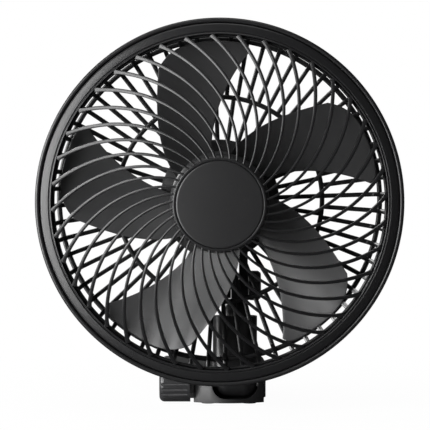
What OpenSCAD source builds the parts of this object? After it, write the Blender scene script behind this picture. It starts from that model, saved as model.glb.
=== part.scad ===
// Portable camping fan on a folding neck and a battery foot.
// X runs to the viewer's right, Y runs from the front to the back, Z is up.
// The foot stands on Z = 0, under the middle of the fan's overall depth.

/* [Guard] */
// Height of the fan's axis above the table
head_z = 131; // [129:1:145]
// Outer diameter of the guard
guard_d = 230; // [226:1:236]
// Width of the outer band, seen from the front
band_w = 2.2; // [1.8:0.1:3]
// Depth of the outer band, front to back
band_depth = 15; // [14:0.5:18]
// Clearance between the band and the front ring
band_gap = 0.3; // [0.2:0.05:0.5]
// Width of the front ring's face
face_w = 7.2; // [6:0.1:8]
// How far the ring's face slopes back towards its outer edge
face_drop = 1.9; // [0.8:0.1:2.5]
// Width of the seat inside the front ring, which carries the grille
seat_w = 2.4; // [2:0.1:3]
// Depth of that seat behind the ring's front edge
seat_depth = 5; // [4:0.5:6]
// Wall of the moulded guard parts
guard_wall = 1.6; // [1.4:0.1:2]

/* [Front grille] */
// Number of spiral ribs
rib_count = 40; // [24:1:44]
// Angle that a rib turns through from the hub to the rim
rib_sweep = 43; // [20:1:50]
// Width of a rib where it leaves the hub
rib_w = 1.5; // [1.2:0.1:1.8]
// Width of a rib at the rim
rib_rim_w = 2.5; // [1.6:0.1:2.8]
// Height of a rib, front to back
rib_h = 3; // [2:0.1:3.5]
// How far the grille domes out in front of the ring
dome_h = 20.5; // [18:0.5:24]
// How full the dome is
dome_power = 2.6; // [2:0.1:3.5]
// Diameter of the hub cap
cap_d = 54; // [48:1:58]
// Thickness of the hub cap at its edge
cap_t = 1.6; // [1.2:0.1:2.4]
// Crown of the hub cap
cap_crown = 0.9; // [0.3:0.1:1.2]

/* [Rear grille] */
// Depth of the rear grille's flat behind the ring's front edge
basket_depth = 42; // [41:0.5:44]
// Radius of the rear grille's outer hoop
hoop_r = 101.4; // [100:0.2:103]
// Radius of the rear grille's middle hoop
mid_hoop_r = 65; // [55:1:75]
// Spokes outside the middle hoop
outer_spokes = 60; // [40:1:66]
// Spokes inside the middle hoop
inner_spokes = 36; // [24:1:40]
// Width of a spoke
spoke_w = 2.8; // [1.8:0.1:3]
// Thickness of a spoke, front to back
spoke_t = 2.4; // [2:0.1:3]

/* [Impeller] */
// Number of blades
blade_count = 5; // [3:1:6]
// Clearance between the blade tips and the ring's seat
tip_gap = 2.3; // [1.9:0.1:10]
// Radius of the impeller hub
fan_hub_r = 31; // [30:0.5:33]
// Thickness of a blade
blade_t = 1.6; // [1.2:0.1:2.4]
// Rise of a blade along the axis, from its leading to its trailing edge
blade_rise = 20; // [12:1:22]
// Turn of the impeller at rest
blade_start = 0; // [0:1:71]

/* [Motor] */
// Radius of the motor housing behind the rear grille
housing_r = 37.7; // [36:0.1:40]
// Depth of the housing's back behind the ring's front edge
housing_depth = 64; // [63.5:0.5:66]
// Outer radius of the rotor can
can_r = 21; // [19:0.5:26]
// Length of the rotor can
can_len = 16; // [15:1:24]
// Radius of the motor shaft
shaft_r = 2; // [1.5:0.1:2.5]
// Running clearance round a shaft or a bolt
run_gap = 0.05; // [0.02:0.01:0.09]

/* [Tilt hinge] */
// Height of the tilt bolt
tilt_z = 74.7; // [73:0.1:77]
// Radius of the tilt bolt
tilt_bolt_r = 2.5; // [2:0.1:3]
// Radius of the yoke's and the ear's round ends
tilt_eye_r = 8.3; // [7.5:0.1:8.6]
// Thickness of the swivel's ear
ear_t = 4.8; // [4:0.1:5.4]
// Thickness of each yoke arm
arm_t = 5.6; // [4.5:0.1:6]
// Clearance beside the ear
ear_gap = 0.2; // [0.15:0.05:0.3]
// Radius of the tilt knob
tilt_knob_r = 10.2; // [9:0.1:11]
// Length of the tilt knob
tilt_knob_len = 7.8; // [6:0.1:9]

/* [Neck] */
// Offset of the neck from the fan's centre line
neck_x = 9.9; // [8:0.1:11]
// Width of the neck
neck_w = 28.4; // [26:0.2:29]
// Thickness of the neck, front to back
neck_t = 16; // [15.8:0.1:17]
// Depth of the swivel's axis behind the ring's front edge
pan_y = 62; // [61.5:0.1:62.5]
// Height of the neck's top, where the swivel turns
neck_top = 55.2; // [54:0.1:56]
// Radius of the swivel post
post_r = 5; // [4.5:0.1:5.1]
// Clearance under the swivel's dome
swivel_gap = 0.3; // [0.2:0.05:0.5]

/* [Fold hinge] */
// Depth of the fold hinge behind the ring's front edge
hinge_y = 57; // [56.5:0.5:58]
// Height of the fold hinge
hinge_z = 12.9; // [12.7:0.1:13.5]
// Radius of the neck's root barrel
root_r = 9.3; // [8.8:0.1:9.5]
// Radius of the fold bolt
fold_bolt_r = 3; // [2.5:0.1:3.5]
// Clearance of the root in its pocket
pocket_gap = 0.5; // [0.4:0.1:0.7]
// How far the neck leans back
fold_max = 20; // [5:1:22]
// Radius of the fold knob
fold_knob_r = 12.4; // [11:0.1:12.5]
// Length of the fold knob
fold_knob_len = 19.8; // [16:0.2:21]
// Thickness of the washer between the knob and the foot
fold_washer_t = 2; // [1.5:0.1:2.4]

/* [Foot] */
// Height of the foot's top above the table
foot_h = 22; // [21.8:0.1:23]
// Left side of the foot
foot_left = -38.6; // [-40:0.2:-38]
// Right side of the foot
foot_right = 30; // [29.6:0.2:34]
// Depth of the foot's rear behind the ring's front edge
foot_rear = 140; // [138:1:150]
// Depth at which the foot reaches its full width
foot_step = 75; // [74.5:0.5:77]
// Left side of the nose
nose_left = -16.5; // [-17.5:0.1:-15.5]
// Right side of the nose
nose_right = 28.4; // [27.8:0.1:29.5]
// Depth of the nose's tip behind the ring's front edge
nose_y = 45; // [44:0.5:46]
// Rise of the nose's curved front
nose_bow = 7; // [4:0.5:9]
// Wall of the foot's shell
foot_wall = 2; // [1.6:0.1:2.4]
// Thickness of the bottom cover
cover_t = 2; // [1.6:0.1:2.4]
// Ground clearance under the shell
foot_lift = 0.6; // [0.5:0.1:1]
// Radius of a rubber pad
pad_r = 4.5; // [3.5:0.1:5]
// Travel of the power button
button_travel = 1.2; // [0.8:0.1:1.5]

/* [Hidden] */
$fn = 72;

guard_r = guard_d / 2;
band_in = guard_r - band_w;
ring_out = band_in - band_gap;
ring_in = ring_out - face_w;
seat_in = ring_in - seat_w;
tip_r = seat_in - tip_gap;
cap_r = cap_d / 2;
cap_back = dome_h - 1;
cap_front = cap_back + cap_t + cap_crown;
// The model stands with the middle of its overall depth over the origin.
ring_y = (cap_front - foot_rear) / 2;

// Colours
BLACK = [0.09, 0.09, 0.10];
DARK = [0.13, 0.13, 0.14];
BLADE_GREY = [0.24, 0.24, 0.25];
RUBBER = [0.06, 0.06, 0.06];
STEEL = [0.72, 0.73, 0.75];
COPPER = [0.72, 0.42, 0.22];
BOARD_GREEN = [0.10, 0.35, 0.18];

// Frames -----------------------------------------------------------------

// Y counts depth behind the ring's front edge
module at_depth() translate([0, ring_y, 0]) children();

// The head's own frame: X right, Y up, Z forward along the fan's axis
module on_axis() at_depth() translate([0, 0, head_z]) rotate([90, 0, 0]) children();

// The tilt bolt's axis, with Z along the bolt to the right
module on_tilt() at_depth() translate([neck_x, pan_y, tilt_z]) rotate([90, 0, 90]) children();

// The fold bolt's axis, with Z along the bolt to the right
module on_fold() at_depth() translate([0, hinge_y, hinge_z]) rotate([90, 0, 90]) children();

// A side view drawn as [depth, height], pulled out across X from x0 to x1
module side_view(x0, x1) translate([x0, 0, 0]) rotate([90, 0, 90]) linear_extrude(x1 - x0) children();

// Shapes -----------------------------------------------------------------

module tube(r_out, r_in, z0, z1) translate([0, 0, z0]) difference() {
    cylinder(r = r_out, h = z1 - z0);
    translate([0, 0, -1]) cylinder(r = r_in, h = z1 - z0 + 2);
}

module disc(r, z0, z1) translate([0, 0, z0]) cylinder(r = r, h = z1 - z0);

// A rectangle from [x0, y0] to [x1, y1] with round corners
module rounded(x0, y0, x1, y1, r) {
    translate([x0 + r, y0]) square([x1 - x0 - 2 * r, y1 - y0]);
    translate([x0, y0 + r]) square([x1 - x0, y1 - y0 - 2 * r]);
    for (x = [x0 + r, x1 - r], y = [y0 + r, y1 - r]) translate([x, y]) circle(r);
}

// A strip with half-round ends, w across and t thick
module stadium(w, t) {
    square([w - t, t], center = true);
    for (s = [-1, 1]) translate([s * (w - t) / 2, 0]) circle(t / 2);
}

// A barrel along Z whose end edges are rounded by e
module barrel(r, len, e) rotate_extrude() intersection() {
    square([r, len]);
    union() {
        square([r - e, len]);
        translate([0, e]) square([r, len - 2 * e]);
        for (z = [e, len - e]) translate([r - e, z]) circle(e);
    }
}

// Faces of a loft through n loops of 2 * m points: m points on one skin, then m back along the other
function loft_faces(n, m) = let (k = 2 * m) concat(
    [for (i = [0:n - 2], j = [0:k - 1], f = [
        [i * k + j, (i + 1) * k + (j + 1) % k, i * k + (j + 1) % k],
        [i * k + j, (i + 1) * k + j, (i + 1) * k + (j + 1) % k]]) f],
    [for (j = [0:m - 2], f = [[j, j + 1, k - 2 - j], [j, k - 2 - j, k - 1 - j]]) f],
    [for (j = [0:m - 2], o = [(n - 1) * k], f = [
        [o + j, o + k - 2 - j, o + j + 1], [o + j, o + k - 1 - j, o + k - 2 - j]]) f]
);

// Front ring and grille ---------------------------------------------------

module front_ring() color(BLACK) on_axis() {
    ring_body();
    for (a = guard_screw_angles) rotate(a) translate([guard_screw_r, 0, 0])
        tube(guard_boss_r, 0.8, -ring_back + 0.3, -face_drop - guard_wall + 0.5);
}

module ring_body() rotate_extrude(convexity = 6) polygon([
    [ring_out, -ring_back], [ring_out, -face_drop], [ring_out - 0.8, -face_drop + 0.6],
    [ring_in + 2.1, 0], [ring_in + 1.9, -0.6], [ring_in + 1.4, -0.6],
    [ring_in + 1.2, 0.1], [ring_in + 0.7, 0.4], [ring_in + 0.3, 0.2], [ring_in, -0.5],
    [ring_in, -seat_depth], [seat_in, -seat_depth], [seat_in, -seat_depth - 2.2],
    [ring_in, -seat_depth - 2.2], [ring_in, -ring_back],
    [ring_in + guard_wall, -ring_back], [ring_in + guard_wall, -face_drop - guard_wall],
    [ring_out - guard_wall, -face_drop - guard_wall], [ring_out - guard_wall, -ring_back]
]);
ring_back = band_depth - guard_wall;
guard_screw_r = (ring_in + ring_out) / 2;
guard_boss_r = (ring_out - ring_in) / 2 - guard_wall + 0.7;
guard_screw_angles = [35:60:335];

// Height of the dome at a radius
function dome_at(r) = dome_h * (1 - pow(r / ring_in, dome_power));

rib_r0 = cap_r + 0.8;
rib_kink_r = ring_in - 4;
rib_r1 = ring_in - 1.2;
rib_foot = -seat_depth + 2;
rib_steps = 11;
rib_start = 4.85;
rib_radii = [for (i = [0:rib_steps]) rib_r0 + (rib_kink_r - rib_r0) * i / rib_steps, rib_r1];

function rib_turn(r) = rib_start + rib_sweep * (r - rib_r0) / (rib_r1 - rib_r0);
function rib_point(r) = r * [cos(rib_turn(r)), sin(rib_turn(r))];
function rib_side(r) = let (d = rib_point(r + 0.1) - rib_point(r - 0.1)) [-d[1], d[0]] / norm(d);
function rib_top(r) = r > rib_kink_r ? rib_foot : dome_at(r);
function rib_loop(r) = let (
    p = rib_point(r), s = rib_side(r), top = rib_top(r),
    bottom = r > rib_kink_r ? -seat_depth + 0.3 : top - rib_h,
    w = rib_w + (rib_rim_w - rib_w) * (r - rib_r0) / (rib_r1 - rib_r0),
    back = s * w / 2, front = s * w * 0.4
) [[p - back, bottom], [p + back, bottom], [p + front, top], [p - front, top]];

module rib() polyhedron(
    [for (r = rib_radii, q = rib_loop(r)) [q[0][0], q[0][1], q[1]]],
    loft_faces(len(rib_radii), 2), convexity = 4
);

module front_grille() color(BLACK) on_axis() {
    for (i = [0:rib_count - 1]) rotate(i * 360 / rib_count) rib();
    tube(ring_in - 0.2, seat_in + 0.3, -seat_depth, rib_foot - 0.2);
    tube(cap_r + 1.9, cap_r + 0.2, cap_back - 3.5, cap_back + cap_t - 0.4);
    disc(cap_r + 1, cap_back - 3.5, cap_back);
}

cap_edge = 0.4;
crown_steps = 8;
function crown_at(r) = cap_front - cap_crown * pow(r / cap_r, 2);

module hub_cap() color(DARK) on_axis() rotate_extrude() polygon(concat(
    [[0, cap_back], [cap_r, cap_back], [cap_r, crown_at(cap_r) - cap_edge]],
    [for (i = [crown_steps:-1:0]) let (r = (cap_r - cap_edge) * i / crown_steps) [r, crown_at(r)]]
));

// Rear grille ---------------------------------------------------------------

side_r = guard_r - 6;
flat_z = -basket_depth;
hub_seat_in = housing_r - 7.4;
spoke_in = housing_r - 1.5;
spoke_start = 2;

module spoke(points) rotate([90, 0, 0]) linear_extrude(spoke_w, center = true) polygon(points);

module band() difference() {
    rotate_extrude(convexity = 4) polygon([
        [band_in, -1.9], [band_in + 0.6, -1], [guard_r - 0.8, -1], [guard_r, -1.9],
        [guard_r, -band_depth + 1], [guard_r - 2.4, -band_depth - 2.4], [side_r - 2.6, -band_depth - 2.4],
        [ring_in, -band_depth + 0.6 - guard_wall], [ring_in, -ring_back], [band_in, -ring_back]
    ]);
    for (a = guard_screw_angles) rotate(a) translate([guard_screw_r, 0, 0]) {
        disc(0.9, -band_depth - 4, 0);
        disc(1.9, -band_depth - 4, guard_head_z);
    }
}

module rear_grille() color(BLACK) on_axis() difference() {
    rear_cage();
    for (a = [45:90:315]) rotate(a) translate([screw_circle, 0, 0]) disc(1.4, flat_z - 4, flat_z + 4);
}

module rear_cage() {
    band();
    tube(hoop_r + 1.6, hoop_r - 1.6, flat_z + 1.6, flat_z + 5);
    tube(mid_hoop_r + 1.5, mid_hoop_r - 1.5, flat_z - 0.6, flat_z + 2.8);
    tube(housing_r, hub_seat_in, flat_z - 2.4, flat_z + 2.4);
    for (i = [0:outer_spokes - 1]) rotate(spoke_start + i * 360 / outer_spokes) spoke([
        [mid_hoop_r, flat_z + 2.2], [hoop_r - 4, flat_z + 3.6], [hoop_r, flat_z + 8],
        [side_r - 2.6, -band_depth - 1], [side_r, -band_depth - 1], [hoop_r + 2.8, flat_z + 6.4],
        [hoop_r - 2.8, flat_z + 1.2], [mid_hoop_r, flat_z + 2.2 - spoke_t]
    ]);
    for (i = [0:inner_spokes - 1]) rotate(spoke_start + i * 360 / inner_spokes) spoke([
        [spoke_in, flat_z + 1], [mid_hoop_r, flat_z + 2.2],
        [mid_hoop_r, flat_z + 2.2 - spoke_t], [spoke_in, flat_z + 1 - spoke_t]
    ]);
}

// Motor --------------------------------------------------------------------

mount_z = flat_z + 2.4;
mount_t = 2.4;
can_front = mount_z + mount_t + 1.2 + can_len;
can_wall = 1.2;
magnet_t = 2.2;
core_r = can_r - can_wall - magnet_t - 0.4;
core_z = mount_z + mount_t + 4.5;
core_t = 8;
tooth_w = 2.6;
bearing_r = shaft_r + 3.5;
holder_r = bearing_r + 1.6;
hub_front = cap_back - 6.5;
shaft_front = hub_front + 1.4;
screw_circle = housing_r - 4.4;

module motor_mount() color(DARK) on_axis() difference() {
    union() {
        disc(housing_r, mount_z, mount_z + mount_t);
        disc(holder_r, mount_z - 3, can_front - 3);
    }
    disc(bearing_r, mount_z + 1, can_front);
    disc(shaft_r + 0.6, mount_z - 4, mount_z + 2);
    for (a = [45:90:315]) rotate(a) translate([screw_circle, 0, 0]) disc(1.4, mount_z - 1, mount_z + mount_t + 1);
}

module motor_bearings() color(STEEL) on_axis()
    for (z = [mount_z + 1, can_front - 8]) tube(bearing_r, shaft_r + run_gap, z, z + 4);

module stator_core() color(STEEL) on_axis() difference() {
    union() {
        disc(holder_r + 2, core_z, core_z + core_t);
        for (a = [0:40:320]) rotate(a) {
            translate([holder_r + 1, -tooth_w / 2, core_z]) cube([core_r - holder_r - 2, tooth_w, core_t]);
            intersection() {
                tube(core_r, core_r - 1.6, core_z, core_z + core_t);
                rotate(-16) translate([0, 0, core_z - 1]) linear_extrude(core_t + 2)
                    polygon([[0, 0], [2 * core_r, 0], [2 * core_r * cos(32), 2 * core_r * sin(32)]]);
            }
        }
    }
    disc(holder_r, core_z - 1, core_z + core_t + 1);
}

module stator_coils() color(COPPER) on_axis() for (a = [0:40:320]) rotate(a) difference() {
    translate([holder_r + 2.3, -tooth_w / 2 - 1, core_z - 1.2])
        cube([core_r - holder_r - 4.2, tooth_w + 2, core_t + 2.4]);
    translate([0, -tooth_w / 2, core_z]) cube([core_r, tooth_w, core_t]);
}

module motor_board() color(BOARD_GREEN) on_axis()
    tube(can_r - 2, holder_r + 0.2, mount_z + mount_t, mount_z + mount_t + 1.2);

// The housing's cup, with its open end towards the front
module cup(r, depth, corner) rotate_extrude() intersection() {
    square([r, depth]);
    union() {
        square([r - corner, depth]);
        translate([0, corner]) square([r, depth]);
        translate([r - corner, corner]) circle(corner);
    }
}

module motor_housing() color(DARK) on_axis() translate([0, 0, -housing_depth]) {
    len = housing_depth - basket_depth - 2.4;
    difference() {
        cup(housing_r, len, housing_round);
        difference() {
            translate([0, 0, housing_wall])
                cup(housing_r - housing_wall, len, housing_round - housing_wall);
            for (a = [45:90:315]) rotate(a) translate([screw_circle, 0, 0]) disc(4, 0, len + 1);
            for (y = bracket_screw_ys) translate([neck_x, y, 0]) disc(3, 0, 6);
        }
        for (a = [45:90:315]) rotate(a) translate([screw_circle, 0, 0]) {
            disc(1.4, 6, len + 1);
            disc(2.8, -1, screw_sink);
        }
        for (y = bracket_screw_ys) translate([neck_x, y, 0]) disc(1.3, -1, 4);
    }
}
housing_wall = 2.2;
housing_round = 10;
screw_sink = 12;

module screw(r, len, head_r, head_t) {
    disc(r, 0, len);
    disc(head_r, -head_t, 0);
}

module housing_screws() color(STEEL) on_axis()
    for (a = [45:90:315]) rotate(a) translate([screw_circle, 0, -housing_depth + screw_sink]) difference() {
        screw(1.3, mount_z + mount_t + housing_depth - screw_sink, 2.6, 2);
        disc(0.9, -3, -1);
    }

guard_head_z = -ring_back - 2.4;

// Small screws that hold the front ring in the band, from behind
module guard_screws() color(STEEL) on_axis()
    for (a = guard_screw_angles) rotate(a) translate([guard_screw_r, 0, guard_head_z]) difference() {
        screw(0.78, ring_back - 2, 1.7, 1.2);
        disc(0.6, -2, -0.6);
    }

// Impeller -------------------------------------------------------------------

blade_r0 = fan_hub_r - 1;
blade_z = -18;
blade_steps = 11;
blade_points = 9;

lead_start = 32.2;
lead_sweep = 25.3;
trail_start = 79.9;
trail_sweep = 59.4;
trail_curl = 19.8;

// The leading and trailing edges, as angles at a radius
function share(r) = (r - fan_hub_r) / (tip_r - fan_hub_r);
function lead_edge(r) = lead_start - lead_sweep * share(r);
function trail_edge(r) = trail_start - trail_sweep * share(r) + trail_curl * pow(share(r), 2);
// The tip is round at both of its corners, and rounder at the trailing one
function tip_at(u) = tip_r - (u < 0.5 ? 5 : 9) * pow(abs(2 * u - 1), u < 0.5 ? 6 : 4);
function blade_point(u, v, side) = let (
    r = blade_r0 + v * (tip_at(u) - blade_r0),
    a = lead_edge(r) + u * (trail_edge(r) - lead_edge(r)),
    rise = blade_rise * (1 - 0.25 * v),
    camber = 3.2 * (1 - pow(2 * u - 1, 2)),
    edge = blade_t * (0.35 + 0.65 * sqrt(1 - pow(2 * u - 1, 2)))
) [r * cos(a), r * sin(a), blade_z + rise * (u - 0.5) - camber + side * edge / 2];

module blade() polyhedron(
    [for (i = [0:blade_steps], q = concat(
        [for (j = [0:blade_points - 1]) blade_point(j / (blade_points - 1), i / blade_steps, -1)],
        [for (j = [blade_points - 1:-1:0]) blade_point(j / (blade_points - 1), i / blade_steps, 1)])) q],
    loft_faces(blade_steps + 1, blade_points), convexity = 4
);

module impeller() color(BLADE_GREY) on_axis() {
    round_r = 5;
    hub_wall = 2;
    z0 = mount_z + mount_t + 1.6;
    difference() {
        rotate_extrude() {
            translate([0, z0]) square([fan_hub_r, hub_front - z0 - round_r]);
            square([fan_hub_r - round_r, hub_front]);
            translate([fan_hub_r - round_r, hub_front - round_r]) circle(round_r);
        }
        disc(fan_hub_r - hub_wall, z0 - 1, hub_front - round_r);
        disc(fan_hub_r - round_r, z0 - 1, hub_front - hub_wall);
        disc(5, hub_front - 1, hub_front + 1);
        disc(shaft_r + 0.02, z0, hub_front + 1);
    }
    difference() {
        disc(shaft_r + 3, can_front, hub_front - 2);
        disc(shaft_r + 0.02, z0, hub_front + 1);
    }
    for (i = [0:blade_count - 1]) rotate(blade_start + i * 360 / blade_count) blade();
}

module motor_shaft() color(STEEL) on_axis() disc(shaft_r, mount_z - 3.4, shaft_front);

module rotor_can() color(STEEL) on_axis() difference() {
    disc(can_r, can_front - can_len, can_front);
    disc(can_r - can_wall, can_front - can_len - 1, can_front - 1.6);
    disc(shaft_r + 0.02, can_front - 3, can_front + 1);
}

module rotor_magnets() color(DARK) on_axis()
    tube(can_r - can_wall, can_r - can_wall - magnet_t, can_front - can_len + 1.4, can_front - 3.4);

module impeller_nut() color(STEEL) on_axis() difference() {
    translate([0, 0, hub_front - 1]) cylinder(r = 4.4, h = 2, $fn = 6);
    disc(shaft_r + 0.02, hub_front - 2, hub_front + 2);
}

// Tilt hinge -------------------------------------------------------------------

arm_in = ear_t / 2 + ear_gap;
arm_out = arm_in + arm_t;
tilt_washer_t = 0.5;
tilt_nut_t = 3;
plate_x = housing_depth - pan_y;
plate_t = 3;
arm_heel = [4.6, 14];
arm_heel_low = 2.6;
arm_toe_h = 7;
arm_front_drop = 4;
arm_back_drop = 12;
arm_top = 11;
axis_up = head_z - tilt_z;
bracket_screw_ys = [-15, 5];

// One yoke arm, seen from the side, from the bolt's eye up to the plate on the housing
module arm_view() {
    circle(tilt_eye_r);
    polygon([
        [-tilt_eye_r + 0.4, arm_heel_low], [-tilt_eye_r + arm_heel[0], arm_heel[1]],
        [plate_x, axis_up - housing_r + arm_front_drop], [plate_x, axis_up + arm_top],
        [plate_x + plate_t, axis_up + arm_top], [plate_x + plate_t, axis_up - housing_r + arm_back_drop],
        [tilt_eye_r, arm_toe_h], [tilt_eye_r, 0]
    ]);
}

module head_bracket() color(DARK) difference() {
    on_tilt() {
        translate([0, 0, arm_in]) linear_extrude(arm_t) arm_view();
        translate([0, 0, -arm_out]) linear_extrude(arm_t) arm_view();
        translate([plate_x, axis_up - housing_r + 8, -arm_out])
            cube([plate_t, housing_r + 3, 2 * arm_out]);
    }
    on_tilt() {
        disc(tilt_bolt_r + run_gap, -arm_out - 1, arm_out + 1);
        translate([0, 0, -arm_out - 1]) cylinder(r = tilt_bolt_r + 2.2, h = tilt_nut_t + 1, $fn = 6);
    }
    on_axis() for (y = bracket_screw_ys) translate([neck_x, y, 0])
        disc(1.8, -housing_depth - plate_t - 1, -housing_depth + 1);
}

module bracket_screws() color(STEEL) on_axis() for (y = bracket_screw_ys)
    translate([neck_x, y, -housing_depth - plate_t]) difference() {
        screw(1.25, plate_t + 2.2, 3, 1.8);
        disc(1.1, -3, -0.8);
    }

module tilt_nut() color(STEEL) on_tilt() difference() {
    translate([0, 0, -arm_out]) cylinder(r = tilt_bolt_r + 2.1, h = tilt_nut_t, $fn = 6);
    disc(tilt_bolt_r + run_gap, -arm_out - 1, -arm_out + tilt_nut_t + 1);
}

module tilt_washers() color(STEEL) on_tilt()
    tube(tilt_eye_r - 1.5, tilt_bolt_r + run_gap, arm_out, arm_out + tilt_washer_t);

tilt_knob_z = arm_out + tilt_washer_t + 0.15;

module tilt_knob() color(BLACK) on_tilt() difference() {
    union() {
        translate([0, 0, tilt_knob_z]) barrel(tilt_knob_r - 1.4, tilt_knob_len, 1.5);
        for (a = [0:60:300]) rotate(a) translate([tilt_knob_r - 3, 0, tilt_knob_z])
            barrel(3, tilt_knob_len - 1, 1.2);
    }
    disc(tilt_bolt_r + 0.02, tilt_knob_z - 1, tilt_knob_z + tilt_knob_len - 2);
}

module tilt_bolt() color(STEEL) on_tilt()
    disc(tilt_bolt_r, -arm_out + 0.4, tilt_knob_z + tilt_knob_len - 2);

// Swivel -------------------------------------------------------------------

dome_r = 8.6;
dome_base = 1.8;
post_end = 25.7;
clip_t = 1.4;
clip_z = -post_end + 1.5;
groove_r = post_r - 0.9;
clip_r = post_r + 1.1;

module on_neck_top() at_depth() translate([neck_x, pan_y, neck_top]) children();

module swivel_head() color(DARK) {
    on_neck_top() translate([0, 0, swivel_gap]) rotate_extrude() {
        square([dome_r, dome_base]);
        intersection() {
            translate([0, dome_base]) circle(dome_r);
            square([dome_r, dome_base + dome_r]);
        }
    }
    on_neck_top() difference() {
        disc(post_r, -post_end, swivel_gap + 1);
        tube(post_r + 1, groove_r, clip_z, clip_z + clip_t);
        disc(post_r - 2.2, -post_end - 1, -2);
    }
    difference() {
        on_tilt() translate([0, 0, -ear_t / 2]) linear_extrude(ear_t) {
            circle(tilt_eye_r);
            translate([-dome_r + 1.2, neck_top + swivel_gap + 1 - tilt_z])
                square([2 * dome_r - 2.4, tilt_z - neck_top - swivel_gap - 1]);
        }
        on_tilt() disc(tilt_bolt_r + run_gap, -ear_t, ear_t);
    }
}

module swivel_clip() color(STEEL) on_neck_top() difference() {
    tube(clip_r, groove_r + 0.05, clip_z + 0.1, clip_z + clip_t - 0.1);
    translate([-1.2, 0, clip_z - 1]) cube([2.4, 12, clip_t + 2]);
}

// Neck -----------------------------------------------------------------------

chamber_top = clip_z + clip_t + 0.2;
chamber_low = -post_end - 2;
cover_x = 9;
cover_low = -32;
cover_high = -6;
cover_in = 1.6;
neck_screw_x = 7;
neck_screw_z = -12;
heel_h = 10;

module neck_shell() color(DARK) difference() {
    union() {
        at_depth() translate([neck_x, pan_y, hinge_z]) linear_extrude(neck_top - hinge_z)
            stadium(neck_w, neck_t);
        on_fold() translate([0, 0, neck_x - neck_w / 2]) barrel(root_r, neck_w, root_round);
    }
    on_neck_top() {
        disc(post_r + run_gap, chamber_low, 1);
        translate([-clip_r - 0.4, -clip_r - 0.3, chamber_low])
            cube([2 * clip_r + 0.8, neck_t, chamber_top - chamber_low]);
        translate([-cover_x, neck_t / 2 - cover_in, cover_low])
            cube([2 * cover_x, cover_in + 1, cover_high - cover_low]);
        for (s = [-1, 1]) translate([s * neck_screw_x, neck_t / 2 + 1, neck_screw_z]) rotate([90, 0, 0])
            cylinder(r = 1.1, h = cover_in + 7);
    }
    at_depth() side_view(neck_x - neck_w, neck_x + neck_w) polygon([
        [hinge_y + root_r, hinge_z + 1], [pan_y + neck_t / 2 + 1, hinge_z + heel_h],
        [pan_y + neck_t / 2 + 1, hinge_z - 1], [hinge_y + root_r, hinge_z - 1]
    ]);
    on_fold() disc(fold_bolt_r + run_gap, neck_x - neck_w, neck_x + neck_w);
}

module neck_cover() color(DARK) on_neck_top() difference() {
    translate([-cover_x + 0.15, neck_t / 2 - cover_in, cover_low + 0.15])
        cube([2 * cover_x - 0.3, cover_in, cover_high - cover_low - 0.3]);
    for (s = [-1, 1]) translate([s * neck_screw_x, neck_t / 2 + 1, neck_screw_z]) rotate([90, 0, 0]) {
        cylinder(r = 1.15, h = cover_in + 2);
        cylinder(r = 2, h = 2);
    }
}

module neck_screws() color(STEEL) on_neck_top()
    for (s = [-1, 1]) translate([s * neck_screw_x, neck_t / 2 - 1, neck_screw_z]) rotate([90, 0, 0])
        difference() {
            screw(1.05, 6, 1.85, 0.8);
            disc(0.7, -1, -0.4);
        }

// Fold hinge -------------------------------------------------------------------

fold_knob_right = nose_left - fold_washer_t - 0.2;
fold_knob_left = fold_knob_right - fold_knob_len;
fold_nut_t = 3;
fold_nut_r = fold_bolt_r + 2.2;
knob_flange = 2;
knob_groups = 5;
knob_grooves = 3;
knob_groove_step = 15.8;
knob_groove_start = 181;
knob_recess_r = 6.4;
knob_recess = 4.4;
knob_cap_t = 1.4;
bolt_head_r = 5.4;
bolt_head_t = 2.8;

module fold_knob() color(BLACK) on_fold() difference() {
    union() {
        translate([0, 0, fold_knob_left]) barrel(fold_knob_r, fold_knob_len - 4, 3.4);
        disc(fold_knob_r, fold_knob_left + 4, fold_knob_right);
    }
    for (g = [0:knob_groups - 1], i = [0:knob_grooves - 1])
        rotate(knob_groove_start + g * 360 / knob_groups + i * knob_groove_step)
            translate([fold_knob_r + 0.35, 0, 0])
                disc(1.25, fold_knob_left - 1, fold_knob_right - knob_flange);
    disc(fold_bolt_r + 0.02, fold_knob_left, fold_knob_right + 1);
    disc(knob_recess_r, fold_knob_left - 1, fold_knob_left + knob_recess);
}

module fold_bolt() color(STEEL) on_fold() {
    disc(fold_bolt_r, fold_knob_left + knob_recess, nose_right - 0.4);
    translate([0, 0, fold_knob_left + knob_recess - bolt_head_t])
        cylinder(r = bolt_head_r, h = bolt_head_t, $fn = 6);
}

module fold_knob_cap() color(DARK) on_fold()
    translate([0, 0, fold_knob_left + knob_recess - bolt_head_t - knob_cap_t])
        cylinder(r = knob_recess_r - 0.1, h = knob_cap_t);

module fold_nut() color(STEEL) on_fold() difference() {
    translate([0, 0, nose_right - fold_nut_t]) cylinder(r = fold_nut_r, h = fold_nut_t, $fn = 6);
    disc(fold_bolt_r + run_gap, nose_right - fold_nut_t - 1, nose_right + 1);
}

module fold_washers() color(STEEL) on_fold()
    tube(fold_bolt_r + 4, fold_bolt_r + run_gap, nose_left - fold_washer_t, nose_left);

// Foot -----------------------------------------------------------------------

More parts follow.
